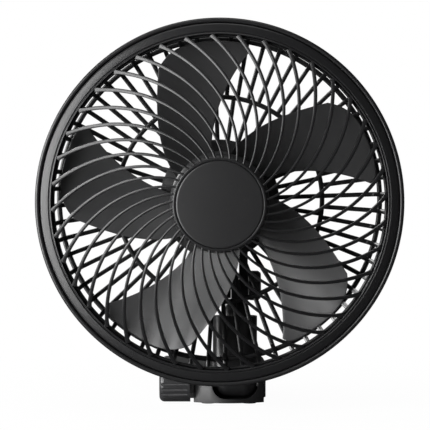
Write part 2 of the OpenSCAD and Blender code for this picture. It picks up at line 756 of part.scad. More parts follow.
foot_round = 4;
foot_corner = 9;
nose_round = 11;
pocket_round = 9;
root_round = pocket_round;
pocket_left = neck_x - neck_w / 2 - pocket_gap;
pocket_right = neck_x + neck_w / 2 + pocket_gap;
pocket_low = hinge_z - root_r - pocket_gap;
nose_half = (nose_right - nose_left) / 2;
nose_bow_r = (nose_half * nose_half + nose_bow * nose_bow) / (2 * nose_bow);
shell_top = foot_h - foot_wall;
cover_top = foot_lift + cover_t;
boss_r = 2.8;
boss_in = 6.3;
boss_places = [
    for (x = [foot_left + boss_in, foot_right - boss_in], y = [foot_step + boss_in, foot_rear - boss_in]) [x, y]
];
pad_h = foot_lift + 0.8;
nose_pad_in = [9.4, 7.9];
rear_pad_in = [15, 8];
pad_places = [
    for (x = [nose_left + nose_pad_in[0], nose_right - nose_pad_in[0]]) [x, nose_y + nose_pad_in[1]],
    for (x = [foot_left + rear_pad_in[0], foot_right - rear_pad_in[0]]) [x, foot_rear - rear_pad_in[1]]
];
board_front = 15;
board_back = 4;
board_y0 = foot_rear - board_front;
board_y1 = foot_rear - board_back;
board_z = 11.4;
board_t = 1.6;
ballast_t = 5;
ballast_round = 6;
battery_t = 11.5;
battery_side = 9.8;
battery_front = 4;
battery_back = 4.2;
board_side = 9.6;
foot_screw_len = 9;
board_posts = [[-24, board_y0 + 3], [foot_right - 11.5, board_y1 - 2]];
switch_h = 2.8;
switch_side = 6;
panel_y = foot_rear - 12;
button_x = 12;
button_r = 5.5;
switch_pin = 0.6;
button_low = board_z + board_t + switch_h + switch_pin + button_travel + 0.05;
lens_r = 1.3;
lens_xs = [-16, -10, -4, 2];
port_x = -17;
port_w = 9;
port_h = 3.2;

// A block with its four upright edges and its top edges rounded
module foot_block(x0, x1, y0, y1, z1, corner, round) intersection() {
    linear_extrude(z1) rounded(x0, y0, x1, y1, corner);
    side_view(x0, x1) rounded(y0, -2 * round, y1, z1, round);
    translate([0, y1, 0]) rotate([90, 0, 0]) linear_extrude(y1 - y0) rounded(x0, -2 * round, x1, z1, round);
}

module nose_block() intersection() {
    linear_extrude(foot_h) intersection() {
        translate([nose_left - 1, nose_y - 1])
            square([nose_right - nose_left + 2, foot_step + foot_corner - nose_y + 1]);
        translate([(nose_left + nose_right) / 2, nose_y + nose_bow_r]) {
            circle(nose_bow_r, $fn = 200);
            translate([-nose_half - 1, 0]) square([2 * nose_half + 2, 2 * foot_rear]);
        }
    }
    side_view(nose_left - 1, nose_right + 1) {
        rounded(nose_y - 0.2, -2 * nose_round, nose_y + 3 * nose_round, foot_h, nose_round);
        translate([nose_y + nose_round, 0]) square([foot_step + foot_corner - nose_y - nose_round, foot_h]);
    }
    translate([0, foot_rear, 0]) rotate([90, 0, 0]) linear_extrude(foot_rear)
        rounded(nose_left, -10, nose_right, foot_h, 2);
}

// A point beside the fold bolt, as [depth, height], once the neck leans all the way back
function leaned(p) = [
    hinge_y + p[0] * cos(fold_max) + p[1] * sin(fold_max),
    hinge_z - p[0] * sin(fold_max) + p[1] * cos(fold_max)
];

// The space that the root and the leaning neck sweep, open to the front and the top
module neck_pocket() at_depth() intersection() {
    back = pan_y - hinge_y + neck_t / 2 + 0.8;
    side_view(pocket_left, pocket_right) {
        translate([hinge_y, hinge_z]) circle(root_r + pocket_gap);
        translate([0, pocket_low]) square([hinge_y, 2 * foot_h]);
        polygon([
            [hinge_y - 2, hinge_z], leaned([root_r + 0.6, 0]), leaned([back, 8]),
            leaned([back, 2 * foot_h]), [hinge_y - 2, 2 * foot_h]
        ]);
    }
    translate([0, foot_rear, 0]) rotate([90, 0, 0]) linear_extrude(2 * foot_rear)
        rounded(pocket_left, pocket_low, pocket_right, 3 * foot_h, pocket_round);
}

module foot_shell() color(BLACK) difference() {
    at_depth() difference() {
        union() {
            foot_block(foot_left, foot_right, foot_step, foot_rear, foot_h, foot_corner, foot_round);
            nose_block();
        }
        translate([0, 0, -1]) linear_extrude(foot_lift + 1) square(4 * foot_rear, center = true);
        difference() {
            foot_block(foot_left + foot_wall, foot_right - foot_wall, foot_step + foot_wall,
                foot_rear - foot_wall, shell_top, foot_corner - foot_wall, foot_round);
            for (p = boss_places) translate(p) disc(boss_r, cover_top, foot_h);
            for (p = board_posts) translate(p) disc(1.6, board_z + board_t, foot_h);
        }
        for (p = boss_places) translate(p) disc(1.1, 0, shell_top - 2);
        for (p = pad_places) translate(p) disc(pad_r + 0.15, -1, pad_h);
        translate([button_x, panel_y, 0]) disc(button_r + 0.2, shell_top - 1, foot_h + 1);
        for (x = lens_xs) translate([x, panel_y, 0]) disc(lens_r + 0.05, shell_top - 1, foot_h + 1);
        translate([port_x, foot_rear + 1, board_z + board_t + port_h / 2]) rotate([90, 0, 0])
            linear_extrude(foot_wall + 2) stadium(port_w + 0.6, port_h + 0.6);
    }
    neck_pocket();
    on_fold() disc(fold_bolt_r + run_gap, nose_left - 1, nose_right + 1);
    on_fold() translate([0, 0, nose_right - fold_nut_t])
        cylinder(r = fold_nut_r + 0.1, h = fold_nut_t + 1, $fn = 6);
}

module foot_cover() color(DARK) at_depth() difference() {
    translate([0, 0, foot_lift]) linear_extrude(cover_t)
        rounded(foot_left + foot_wall + 0.2, foot_step + foot_wall + 0.2,
            foot_right - foot_wall - 0.2, foot_rear - foot_wall - 0.2, foot_corner - foot_wall);
    for (p = boss_places) translate(p) {
        disc(1.3, 0, cover_top + 1);
        disc(2.4, 0, foot_lift + 1);
    }
    for (p = pad_places) translate(p) disc(pad_r + 0.15, -1, pad_h);
}

module foot_screws() color(STEEL) at_depth() for (p = boss_places)
    translate([p[0], p[1], foot_lift + 1]) difference() {
        screw(1.05, foot_screw_len, 2.2, 0.8);
        disc(0.9, -1, -0.4);
    }

module rubber_pads() color(RUBBER) at_depth() for (p = pad_places) translate(p) disc(pad_r, 0, pad_h);

// A steel plate that keeps the fan from tipping forward, cut out round the screw bosses
module ballast_plate() color(STEEL) at_depth() difference() {
    translate([0, 0, cover_top]) linear_extrude(ballast_t) rounded(foot_left + foot_wall + 1,
        foot_step + foot_wall + 1, foot_right - foot_wall - 1, foot_rear - foot_wall - 1, ballast_round);
    for (p = boss_places) translate(p) disc(boss_r + 0.6, 0, foot_h);
}

module battery_pack() color("royalblue") at_depth() translate([0, 0, cover_top + ballast_t])
    linear_extrude(battery_t) rounded(foot_left + battery_side, foot_step + battery_front,
        foot_right - battery_side, board_y0 - battery_back, 3);

module circuit_board() color(BOARD_GREEN) at_depth() translate([0, 0, board_z]) linear_extrude(board_t)
    translate([foot_left + board_side + 1, board_y0])
        square([foot_right - foot_left - 2 * board_side - 1, board_y1 - board_y0]);

module board_switch() color(DARK) at_depth() translate([button_x, panel_y, board_z + board_t]) {
    translate([-switch_side / 2, -switch_side / 2, 0]) cube([switch_side, switch_side, switch_h]);
    disc(1.7, 0, switch_h + switch_pin);
}

module charge_port() color(STEEL) at_depth()
    translate([port_x, foot_rear - 0.6, board_z + board_t + port_h / 2]) rotate([90, 0, 0]) {
        difference() {
            linear_extrude(8) stadium(port_w, port_h);
            translate([0, 0, -1]) linear_extrude(7.5) stadium(port_w - 0.7, port_h - 0.7);
        }
        translate([-3.2, -0.35, 1]) cube([6.4, 0.7, 6]);
    }

module indicator_lenses() color("white") at_depth() for (x = lens_xs) translate([x, panel_y, 0])
    disc(lens_r, board_z + board_t, foot_h);

module power_button() color(DARK) at_depth() translate([button_x, panel_y, 0]) {
    disc(button_r, button_low, foot_h + button_travel);
    disc(button_r + 1, shell_top - 1.4, shell_top - 0.2);
}

front_ring();
front_grille();
hub_cap();
rear_grille();
motor_mount();
stator_core();
stator_coils();
motor_bearings();
motor_board();
motor_housing();
housing_screws();
guard_screws();
head_bracket();
bracket_screws();
tilt_nut();
tilt_washers();
impeller();
motor_shaft();
rotor_can();
rotor_magnets();
impeller_nut();
tilt_knob();
tilt_bolt();
swivel_head();
swivel_clip();
neck_shell();
neck_cover();
neck_screws();
fold_knob();
fold_bolt();
fold_knob_cap();
foot_shell();
foot_cover();
ballast_plate();
battery_pack();
circuit_board();
board_switch();
charge_port();
indicator_lenses();
rubber_pads();
foot_screws();
fold_nut();
fold_washers();
power_button();
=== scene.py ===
"""Portable camping fan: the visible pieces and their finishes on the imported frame."""
import logging
import math
from collections.abc import Iterator, Sequence
from contextlib import contextmanager
from dataclasses import dataclass
from enum import Enum
from functools import cache

import bmesh
import bpy
from mathutils import Matrix, Vector


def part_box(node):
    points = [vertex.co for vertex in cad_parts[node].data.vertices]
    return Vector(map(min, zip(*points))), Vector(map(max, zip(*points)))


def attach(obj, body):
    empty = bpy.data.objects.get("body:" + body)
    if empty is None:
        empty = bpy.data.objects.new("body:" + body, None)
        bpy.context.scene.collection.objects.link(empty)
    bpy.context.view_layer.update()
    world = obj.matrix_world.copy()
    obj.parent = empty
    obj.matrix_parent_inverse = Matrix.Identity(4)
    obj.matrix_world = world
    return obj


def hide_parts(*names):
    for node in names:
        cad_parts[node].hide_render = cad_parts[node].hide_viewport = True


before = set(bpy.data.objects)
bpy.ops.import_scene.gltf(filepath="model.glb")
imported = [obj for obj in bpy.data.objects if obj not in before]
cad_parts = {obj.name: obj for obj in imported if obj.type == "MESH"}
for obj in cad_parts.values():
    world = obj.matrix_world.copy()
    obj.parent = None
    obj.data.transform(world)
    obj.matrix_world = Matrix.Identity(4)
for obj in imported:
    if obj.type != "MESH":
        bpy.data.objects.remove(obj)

LOG = logging.getLogger("camping_fan")
MM = 0.001
Point2 = tuple[float, float]
Point3 = tuple[float, float, float]
Colour = tuple[float, float, float]
Socket = bpy.types.NodeSocket


class Body(Enum):
    """The rigid bodies that pieces ride on."""

    FOOT = "foot"
    NECK = "neck"
    SWIVEL = "swivel"
    HEAD = "head"
    IMPELLER = "impeller"
    TILT_KNOB = "tilt_knob"
    FOLD_KNOB = "fold_knob"
    BUTTON = "power_button"


# Shared places, in millimetres: the ring's front edge, the fan's axis and the neck's middle.
RING_Y = -59.0
HEAD_Z = 131.0
NECK_X = 9.9


def facing_forward(x: float, y: float, z: float) -> Matrix:
    """Returns a frame at a place in millimetres: X right, Y up, Z towards the front."""
    return Matrix.Translation((x * MM, y * MM, z * MM)) @ Matrix.Rotation(math.pi / 2, 4, "X")


def on_axis() -> Matrix:
    """Returns the head's frame: X right, Y up, Z forward along the fan's axis."""
    return facing_forward(0.0, RING_Y, HEAD_Z)


def frame_depth(node: str) -> tuple[float, float]:
    """Returns how far back and forward a head node reaches on the fan's axis, in millimetres."""
    low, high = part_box(node)
    return RING_Y - high[1] / MM, RING_Y - low[1] / MM


# Node trees --------------------------------------------------------------------


class Num:
    """A number inside a node tree; its operators add Math nodes."""

    def __init__(self, graph: "Graph", socket: Socket) -> None:
        """Wraps a socket of a graph."""
        self.graph = graph
        self.socket = socket

    def __add__(self, other: "Value") -> "Num":
        """Returns the sum."""
        return self.graph.math("ADD", self, other)

    def __sub__(self, other: "Value") -> "Num":
        """Returns the difference."""
        return self.graph.math("SUBTRACT", self, other)

    def __rsub__(self, other: "Value") -> "Num":
        """Returns the difference from a plain number."""
        return self.graph.math("SUBTRACT", other, self)

    def __mul__(self, other: "Value") -> "Num":
        """Returns the product."""
        return self.graph.math("MULTIPLY", self, other)

    def __truediv__(self, other: "Value") -> "Num":
        """Returns the quotient."""
        return self.graph.math("DIVIDE", self, other)

    def __rtruediv__(self, other: "Value") -> "Num":
        """Returns a plain number divided by this one."""
        return self.graph.math("DIVIDE", other, self)

    def __pow__(self, other: "Value") -> "Num":
        """Returns the power."""
        return self.graph.math("POWER", self, other)

    def __abs__(self) -> "Num":
        """Returns the size without its sign."""
        return self.graph.math("ABSOLUTE", self)

    def at_least(self, other: "Value") -> "Num":
        """Returns the larger of the two."""
        return self.graph.math("MAXIMUM", self, other)

    def at_most(self, other: "Value") -> "Num":
        """Returns the smaller of the two."""
        return self.graph.math("MINIMUM", self, other)

    def sign(self) -> "Num":
        """Returns -1, 0 or 1."""
        return self.graph.math("SIGN", self)

    def sine(self) -> "Num":
        """Returns the sine."""
        return self.graph.math("SINE", self)

    def cosine(self) -> "Num":
        """Returns the cosine."""
        return self.graph.math("COSINE", self)


Value = Num | Socket | float


class Graph:
    """A thin wrapper that adds and joins nodes of one node tree."""

    def __init__(self, tree: bpy.types.NodeTree) -> None:
        """Wraps a node tree."""
        self.tree = tree

    def add(self, kind: str, inputs: dict | None = None, **props: object) -> bpy.types.Node:
        """Adds one node.

        Args:
            kind: The node's type name.
            inputs: Values or sockets by input name or number.
            props: Properties to set on the node first.

        Returns:
            The new node.
        """
        node = self.tree.nodes.new(kind)
        for key, value in props.items():
            setattr(node, key, value)
        for key, value in (inputs or {}).items():
            self.put(node.inputs[key], value)
        return node

    def output(self, kind: str, inputs: dict | None = None, **props: object) -> Socket:
        """Adds one node and returns its first output."""
        return self.add(kind, inputs, **props).outputs[0]

    def put(self, socket: Socket, value: object) -> None:
        """Sets a socket's value, or links it where the value comes from a node.

        Args:
            socket: The input to feed.
            value: A number, colour or other plain value, a socket, or a number of a tree.
        """
        source = value.socket if isinstance(value, Num) else value
        if isinstance(source, Socket):
            self.tree.links.new(source, socket)
        else:
            socket.default_value = source

    def math(self, operation: str, a: Value, b: Value = 0.0, clamp: bool = False) -> Num:
        """Adds a Math node to a shader or geometry tree and returns its result."""
        return Num(self, self.output(
            "ShaderNodeMath", {0: a, 1: b}, operation=operation, use_clamp=clamp))

    def parts(self, vector: Socket) -> list[Num]:
        """Returns a vector's three numbers."""
        return [Num(self, s) for s in self.add("ShaderNodeSeparateXYZ", {"Vector": vector}).outputs]

    def ramp(self, value: Value, low: float, high: float, to_low: float, to_high: float) -> Num:
        """Adds a clamped Map Range node and returns its output."""
        return Num(self, self.output("ShaderNodeMapRange", {
            "Value": value, "From Min": low, "From Max": high,
            "To Min": to_low, "To Max": to_high}))

    def mix_colour(self, factor: Value, a: Socket | Colour, b: Socket | Colour) -> Socket:
        """Mixes two colours.

        Args:
            factor: Share of the second colour.
            a: First colour.
            b: Second colour.

        Returns:
            The mixed colour.
        """
        node = self.add("ShaderNodeMix", data_type="RGBA")
        for name, value in (("Factor_Float", factor), ("A_Color", a), ("B_Color", b)):
            self.put(next(s for s in node.inputs if s.identifier == name),
                     rgba(value) if isinstance(value, tuple) else value)
        return next(s for s in node.outputs if s.identifier == "Result_Color")

    def noise(self, place: Socket, scale: Value, detail: float, **more: float) -> Num:
        """Adds a noise texture.

        Args:
            place: Where to read the texture.
            scale: Its fineness.
            detail: How many finer layers it has.
            more: Its other inputs, in lower case.

        Returns:
            The noise, from 0 to 1.
        """
        others = {name.title(): value for name, value in more.items()}
        node = self.add("ShaderNodeTexNoise", {
            "Vector": place, "Scale": scale, "Detail": detail, **others})
        return Num(self, node.outputs["Fac"])

    def object_place(self) -> Socket:
        """Returns the place on the object, in metres."""
        return self.add("ShaderNodeTexCoord").outputs["Object"]


class Group(Graph):
    """A node tree of its own, with named inputs and outputs."""

    def __init__(self, name: str, kind: str, inputs: dict[str, float | int],
                 outputs: dict[str, str]) -> None:
        """Makes the tree with its input and output nodes.

        Args:
            name: The tree's name.
            kind: The tree's type name.
            inputs: Each named input with the value it starts with.
            outputs: Each named output with its socket type.
        """
        super().__init__(bpy.data.node_groups.new(name, kind))
        for label, socket_type in outputs.items():
            self.tree.interface.new_socket(name=label, in_out="OUTPUT", socket_type=socket_type)
        for label, value in inputs.items():
            socket_type = "NodeSocketInt" if isinstance(value, int) else "NodeSocketFloat"
            socket = self.tree.interface.new_socket(
                name=label, in_out="INPUT", socket_type=socket_type)
            socket.default_value = value
        self.source = self.tree.nodes.new("NodeGroupInput")
        self.sink = self.tree.nodes.new("NodeGroupOutput")

    def size(self, label: str) -> Num:
        """Returns a named input."""
        return Num(self, self.source.outputs[label])

    def end(self, results: dict[str, Value]) -> bpy.types.NodeTree:
        """Ends the tree.

        Args:
            results: What to feed each named output.

        Returns:
            The tree.
        """
        for label, value in results.items():
            self.put(self.sink.inputs[label], value)
        return self.tree


class Surface(Graph):
    """A material's node tree with its Principled shader."""

    def __init__(self, name: str) -> None:
        """Makes the material."""
        self.material = bpy.data.materials.new(name)
        self.material.use_nodes = True
        super().__init__(self.material.node_tree)
        self.shader = next(n for n in self.tree.nodes if n.type == "BSDF_PRINCIPLED")

    def effect(self, group: bpy.types.NodeTree, inputs: dict[str, float]) -> dict[str, Num]:
        """Places a shared effect.

        Args:
            group: The effect's node group.
            inputs: This material's own values for it.

        Returns:
            Its outputs by name.
        """
        node = self.add("ShaderNodeGroup", node_tree=group)
        for label, value in inputs.items():
            node.inputs[label].default_value = value
        return {s.name: Num(self, s) for s in node.outputs}

    def give(self, values: dict[str, object]) -> None:
        """Feeds the shader's named sockets."""
        for label, value in values.items():
            self.put(self.shader.inputs[label], value)

    def bump(self, height: Value, distance: float, strength: float = 1.0,
             invert: bool = False) -> None:
        """Gives the surface a relief.

        Args:
            height: The relief's height, from 0 to 1.
            distance: How far that is, in metres.
            strength: Share of the relief that shows.
            invert: Whether the height counts inward.
        """
        relief = {"Strength": strength, "Distance": distance, "Height": height}
        self.give({"Normal": self.output("ShaderNodeBump", relief, invert=invert)})


def rgba(colour: Colour) -> tuple[float, float, float, float]:
    """Returns a colour with full alpha."""
    return (*colour, 1.0)


# Finishes ----------------------------------------------------------------------


# Fineness of the dust specks on plastic and of the stains on metal.
DUST_SCALE = 900.0
STAIN_SCALE = 220.0


@cache
def moulded_grain() -> bpy.types.NodeTree:
    """Makes the spark-eroded texture of moulded plastic.

    Returns:
        A group with Scale and Smudge inputs, and Height, Handling and Dust outputs.
    """
    g = Group("moulded_grain", "ShaderNodeTree", {"Scale": 2600.0, "Smudge": 26.0}, {
        name: "NodeSocketFloat" for name in ("Height", "Handling", "Dust")})
    where, scale = g.object_place(), g.size("Scale")
    pits = Num(g, g.output("ShaderNodeTexVoronoi", {"Vector": where, "Scale": scale},
                           feature="SMOOTH_F1"))
    hands = g.noise(where, g.size("Smudge"), 5.0, roughness=0.62, distortion=0.8)
    specks = g.noise(where, DUST_SCALE, 2.0, roughness=0.8)
    return g.end({
        "Height": pits * 0.6 + g.noise(where, scale, 3.0),
        "Handling": g.ramp(hands, 0.35, 0.68, 0.0, 1.0),
        "Dust": g.ramp(specks, 0.68, 0.8, 0.0, 1.0)})


@cache
def drawn_lines() -> bpy.types.NodeTree:
    """Makes the fine lines that a tool leaves on metal.

    Returns:
        A group with Fineness and Stretch inputs, and Line and Stain outputs.
    """
    g = Group("drawn_lines", "ShaderNodeTree", {"Fineness": 1800.0, "Stretch": 0.02}, {
        name: "NodeSocketFloat" for name in ("Line", "Stain")})
    where = g.object_place()
    scale = g.output("ShaderNodeCombineXYZ", {"X": 1.0, "Y": g.size("Stretch"), "Z": 1.0})
    pulled = g.output("ShaderNodeVectorMath", {0: where, 1: scale}, operation="MULTIPLY")
    stain = g.noise(where, STAIN_SCALE, 4.0, roughness=0.6)
    return g.end({"Line": g.noise(pulled, g.size("Fineness"), 2.0),
                  "Stain": g.ramp(stain, 0.4, 0.7, 0.0, 1.0)})


@dataclass(frozen=True)
class Plastic:
    """Moulded plastic with a fine texture, light handling marks and a little dust."""

    name: str
    colour: Colour
    worn: Colour
    roughness: float
    polished: float
    grain: float = 2600.0
    depth: float = 0.00003
    wear_share: float = 0.35
    dust: Colour = (0.30, 0.29, 0.28)
    dust_share: float = 0.12

    def build(self) -> bpy.types.Material:
        """Builds the material."""
        s = Surface(self.name)
        effect = s.effect(moulded_grain(), {"Scale": self.grain})
        tone = s.mix_colour(effect["Handling"] * self.wear_share, self.colour, self.worn)
        s.give({
            "Base Color": s.mix_colour(effect["Dust"] * self.dust_share, tone, self.dust),
            "Roughness": s.ramp(effect["Handling"], 0.0, 1.0, self.roughness, self.polished)})
        s.bump(effect["Height"], self.depth)
        return s.material


@dataclass(frozen=True)
class Metal:
    """Plated, drawn or ground metal."""

    name: str
    colour: Colour
    stained: Colour
    roughness: float = 0.3
    rough_spread: float = 0.16
    fineness: float = 1800.0
    stretch: float = 0.02
    depth: float = 0.00001
    stain_share: float = 0.5

    def build(self) -> bpy.types.Material:
        """Builds the material."""
        s = Surface(self.name)
        effect = s.effect(drawn_lines(), {"Fineness": self.fineness, "Stretch": self.stretch})
        low, stain = self.roughness - self.rough_spread / 2, effect["Stain"] * self.stain_share
        s.give({
            "Base Color": s.mix_colour(stain, self.colour, self.stained), "Metallic": 1.0,
            "Roughness": effect["Line"] * self.rough_spread + low})
        s.bump(effect["Line"], self.depth)
        return s.material


@dataclass(frozen=True)
class Rubber:
    """Matt rubber with mould bloom."""

    name: str
    colour: Colour
    bloom: Colour
    roughness: float = 0.78
    grain: float = 1500.0
    smudge: float = 90.0
    bloom_share: float = 0.5
    depth: float = 0.00006

    def build(self) -> bpy.types.Material:
        """Builds the material."""
        s = Surface(self.name)
        effect = s.effect(moulded_grain(), {"Scale": self.grain, "Smudge": self.smudge})
        share = effect["Handling"] * self.bloom_share
        s.give({"Base Color": s.mix_colour(share, self.colour, self.bloom),
                "Roughness": self.roughness})
        s.bump(effect["Height"], self.depth)
        return s.material


@dataclass(frozen=True)
class Board:
    """Green circuit board with copper traces and pads under the solder mask."""

    name: str
    mask: Colour = (0.02, 0.13, 0.05)
    trace: Colour = (0.05, 0.24, 0.09)
    pad: Colour = (0.62, 0.60, 0.55)
    trace_scale: float = 260.0
    trace_width: float = 0.012
    pad_scale: float = 320.0
    pad_metal: float = 0.8
    roughness: float = 0.35
    depth: float = 0.00005

    def build(self) -> bpy.types.Material:
        """Builds the material."""
        s = Surface(self.name)
        where = s.object_place()
        runs = s.add("ShaderNodeTexBrick", {
            "Vector": where, "Scale": self.trace_scale, "Mortar Size": self.trace_width,
            "Color1": rgba(self.mask), "Color2": rgba(self.mask), "Mortar": rgba(self.trace)})
        dots = s.output("ShaderNodeTexVoronoi", {
            "Vector": where, "Scale": self.pad_scale, "Randomness": 0.6})
        hit = s.ramp(dots, 0.17, 0.2, 1.0, 0.0)
        s.give({"Base Color": s.mix_colour(hit, runs.outputs["Color"], self.pad),
                "Metallic": hit * self.pad_metal, "Roughness": self.roughness})
        s.bump(runs.outputs["Fac"], self.depth)
        return s.material


@dataclass(frozen=True)
class CellWrap:
    """Shrink wrap over a pouch cell, with the creases that it sets in."""

    name: str
    colour: Colour = (0.03, 0.10, 0.30)
    pale: Colour = (0.07, 0.18, 0.42)
    crease_scale: float = 60.0
    crease_share: float = 0.6
    depth: float = 0.0004

    def build(self) -> bpy.types.Material:
        """Builds the material."""
        s = Surface(self.name)
        crease = s.noise(s.object_place(), self.crease_scale, 4.0, roughness=0.55, distortion=1.5)
        tone = s.mix_colour(s.ramp(crease, 0.4, 0.7, 0.0, 1.0), self.colour, self.pale)
        s.give({"Base Color": tone, "Roughness": s.ramp(crease, 0.3, 0.7, 0.22, 0.4)})
        s.bump(crease, self.depth, self.crease_share)
        return s.material


@dataclass(frozen=True)
class Lens:
    """Milky clear plastic over a small lamp."""

    name: str
    colour: Colour = (0.62, 0.66, 0.68)
    milk: Colour = (0.74, 0.77, 0.78)
    cloud_scale: float = 500.0
    scatter: float = 0.3
    scatter_depth: float = 0.001

    def build(self) -> bpy.types.Material:
        """Builds the material."""
        s = Surface(self.name)
        cloud = s.noise(s.object_place(), self.cloud_scale, 2.0)
        s.give({"Base Color": s.mix_colour(cloud, self.colour, self.milk),
                "Roughness": s.ramp(cloud, 0.2, 0.8, 0.16, 0.28),
                "Subsurface Weight": self.scatter, "Subsurface Scale": self.scatter_depth})
        return s.material


@dataclass(frozen=True)
class Winding:
    """Enamelled copper wire, laid in turns across each tooth, with painted shade darkening the
    grooves between turns.
    """

    name: str
    colour: Colour = (0.55, 0.20, 0.06)
    # Darker copy of the copper, painted into the grooves between turns as shade.
    painted_groove_shade: Colour = (0.16, 0.05, 0.015)
    wire: float = 0.00045
    metallic: float = 0.7
    depth: float = 0.0001

    def build(self) -> bpy.types.Material:
        """Builds the material."""
        s = Surface(self.name)
        centred = s.output("ShaderNodeMapping", {
            "Vector": s.object_place(), "Location": (0.0, 0.0, -HEAD_Z * MM)})
        across, _, up = s.parts(centred)
        radius = (across ** 2.0 + up ** 2.0) ** 0.5
        wire = (s.math("FRACT", radius / self.wire) * math.pi).sine()
        # The base colour is painted darker in the grooves between turns as shade; the same wire
        # profile also sets roughness and relief.
        s.give({"Base Color": s.mix_colour(wire, self.painted_groove_shade, self.colour),
                "Metallic": self.metallic, "Roughness": s.ramp(wire, 0.0, 1.0, 0.5, 0.28)})
        s.bump(wire, self.depth)
        return s.material


@dataclass(frozen=True)
class Laminations:
    """Stacked electrical steel sheets, seen as fine lines across the stack."""

    name: str
    colour: Colour = (0.36, 0.36, 0.38)
    line: Colour = (0.12, 0.11, 0.11)
    sheet: float = 0.0005
    depth: float = 0.00006

    def build(self) -> bpy.types.Material:
        """Builds the material."""
        s = Surface(self.name)
        _, depth, _ = s.parts(s.object_place())
        edge = s.ramp(abs(s.math("FRACT", depth / self.sheet) - 0.5), 0.4, 0.48, 0.0, 1.0)
        s.give({"Base Color": s.mix_colour(edge, self.colour, self.line), "Metallic": 1.0,
                "Roughness": s.ramp(edge, 0.0, 1.0, 0.36, 0.6)})
        s.bump(edge, self.depth, invert=True)
        return s.material


class Finish(Enum):
    """Every finish on the fan, by name."""

    guard_black = Plastic("guard_black", (0.007, 0.007, 0.0075), (0.011, 0.011, 0.0115), 0.33, 0.27)
    cap_black = Plastic("cap_black", (0.010, 0.010, 0.0105), (0.014, 0.014, 0.0145), 0.37, 0.32,
                        depth=0.00002)
    housing_black = Plastic("housing_black", (0.009, 0.009, 0.0095), (0.015, 0.015, 0.0155),
                            0.36, 0.30)
    blade_grey = Plastic("blade_grey", (0.042, 0.042, 0.043), (0.049, 0.049, 0.050), 0.36, 0.31,
                         depth=0.00001)
    neck_black = Plastic("neck_black", (0.009, 0.009, 0.0095), (0.014, 0.014, 0.0145), 0.34, 0.28)
    foot_black = Plastic("foot_black", (0.011, 0.011, 0.0115), (0.018, 0.018, 0.0185), 0.40, 0.33)
    knob_black = Plastic("knob_black", (0.022, 0.022, 0.023), (0.036, 0.036, 0.037), 0.36, 0.28)
    button_grey = Plastic("button_grey", (0.05, 0.05, 0.053), (0.07, 0.07, 0.073), 0.40, 0.30)
    fastener_steel = Metal("fastener_steel", (0.55, 0.55, 0.56), (0.36, 0.35, 0.33))
    bearing_steel = Metal("bearing_steel", (0.66, 0.66, 0.67), (0.50, 0.49, 0.47), 0.2, 0.12)
    core_steel = Laminations("core_steel")
    can_steel = Metal("can_steel", (0.48, 0.48, 0.50), (0.34, 0.33, 0.33), 0.3, 0.2, 1400.0)
    port_steel = Metal("port_steel", (0.60, 0.60, 0.62), (0.42, 0.42, 0.42), 0.26, 0.14)
    coil_copper = Winding("coil_copper")
    magnet_black = Rubber("magnet_black", (0.03, 0.03, 0.032), (0.055, 0.054, 0.053), 0.6)
    board_green = Board("board_green")
    switch_black = Plastic("switch_black", (0.02, 0.02, 0.02), (0.03, 0.03, 0.03), 0.5, 0.42)
    battery_wrap = CellWrap("battery_wrap")
    ballast_steel = Metal("ballast_steel", (0.10, 0.10, 0.105), (0.06, 0.06, 0.06), 0.45, 0.2,
                          900.0)
    lens_white = Lens("lens_white")
    pad_rubber = Rubber("pad_rubber", (0.014, 0.014, 0.014), (0.035, 0.034, 0.033))

    @property
    def material(self) -> bpy.types.Material:
        """Returns the finish's material, built on first use."""
        found = bpy.data.materials.get(f"finish_{self.name}")
        if found is None:
            found = self.value.build()
            found.name = f"finish_{self.name}"
        return found


# Meshes ------------------------------------------------------------------------

# Edges over these angles, in degrees, stay crisp in shading.
CRISP = 35.0
CRISP_RING = 40.0
CRISP_RIB = 50.0
CRISP_COPY = 50.0
CRISP_BLADE = 60.0
CRISP_SCREW = 30.0
# Edges of a copied node under this angle, in degrees, lie inside a flat face.
FLAT = 1.0
# Steps across an eased edge, and how full its rounding is.
EASE_STEPS = 2
EASE_FULLNESS = 0.6
# Points of a copied node closer than this, in metres, are one.
COPY_MERGE = 2e-6
# Points of a turned piece closer than this, in metres, are one.
TURNED_MERGE = 1e-7
# A corner that turns by less than this, as a sine, is left as it is.
STRAIGHT = 0.02
# Largest share of a side that a rounded corner takes.
CORNER_SHARE = 0.45
TINY = 1e-6


@contextmanager
def editing(mesh: bpy.types.Mesh) -> Iterator[bmesh.types.BMesh]:
    """Opens a mesh for editing and writes it back.

    Args:
        mesh: The mesh to edit.

    Yields:
        Its editable copy.
    """
    bm = bmesh.new()
    bm.from_mesh(mesh)
    yield bm
    bm.to_mesh(mesh)
    bm.free()


def in_scene(name: str, data: bpy.types.ID) -> bpy.types.Object:
    """Makes an object and puts it in the scene.

    Args:
        name: The object's name.
        data: Its mesh, lamp or camera.

    Returns:
        The object.
    """
    obj = bpy.data.objects.new(name, data)
    bpy.context.scene.collection.objects.link(obj)
    return obj


def soften(outline: Sequence[Point2], radius: float, steps: int = 3) -> list[Point2]:
    """Rounds the corners of a closed outline.

    Args:
        outline: Corner points in order.
        radius: Largest corner radius; short sides get a smaller one.
        steps: Points along each rounded corner.

    Returns:
        The outline with its corners replaced by short curves.
    """
    result: list[Point2] = []
    for i, corner in enumerate(outline):
        here = Vector(corner)
        before = Vector(outline[i - 1]) - here
        after = Vector(outline[(i + 1) % len(outline)]) - here
        reach = min(radius, before.length * CORNER_SHARE, after.length * CORNER_SHARE)
        if reach < TINY or abs(before.normalized().cross(after.normalized())) < STRAIGHT:
            result.append(tuple(here))
            continue
        start, end = here + before.normalized() * reach, here + after.normalized() * reach
        for k in range(steps + 1):
            t = k / steps
            point = start * (1 - t) ** 2 + here * (2 * t * (1 - t)) + end * t ** 2
            result.append(tuple(point))
    return result


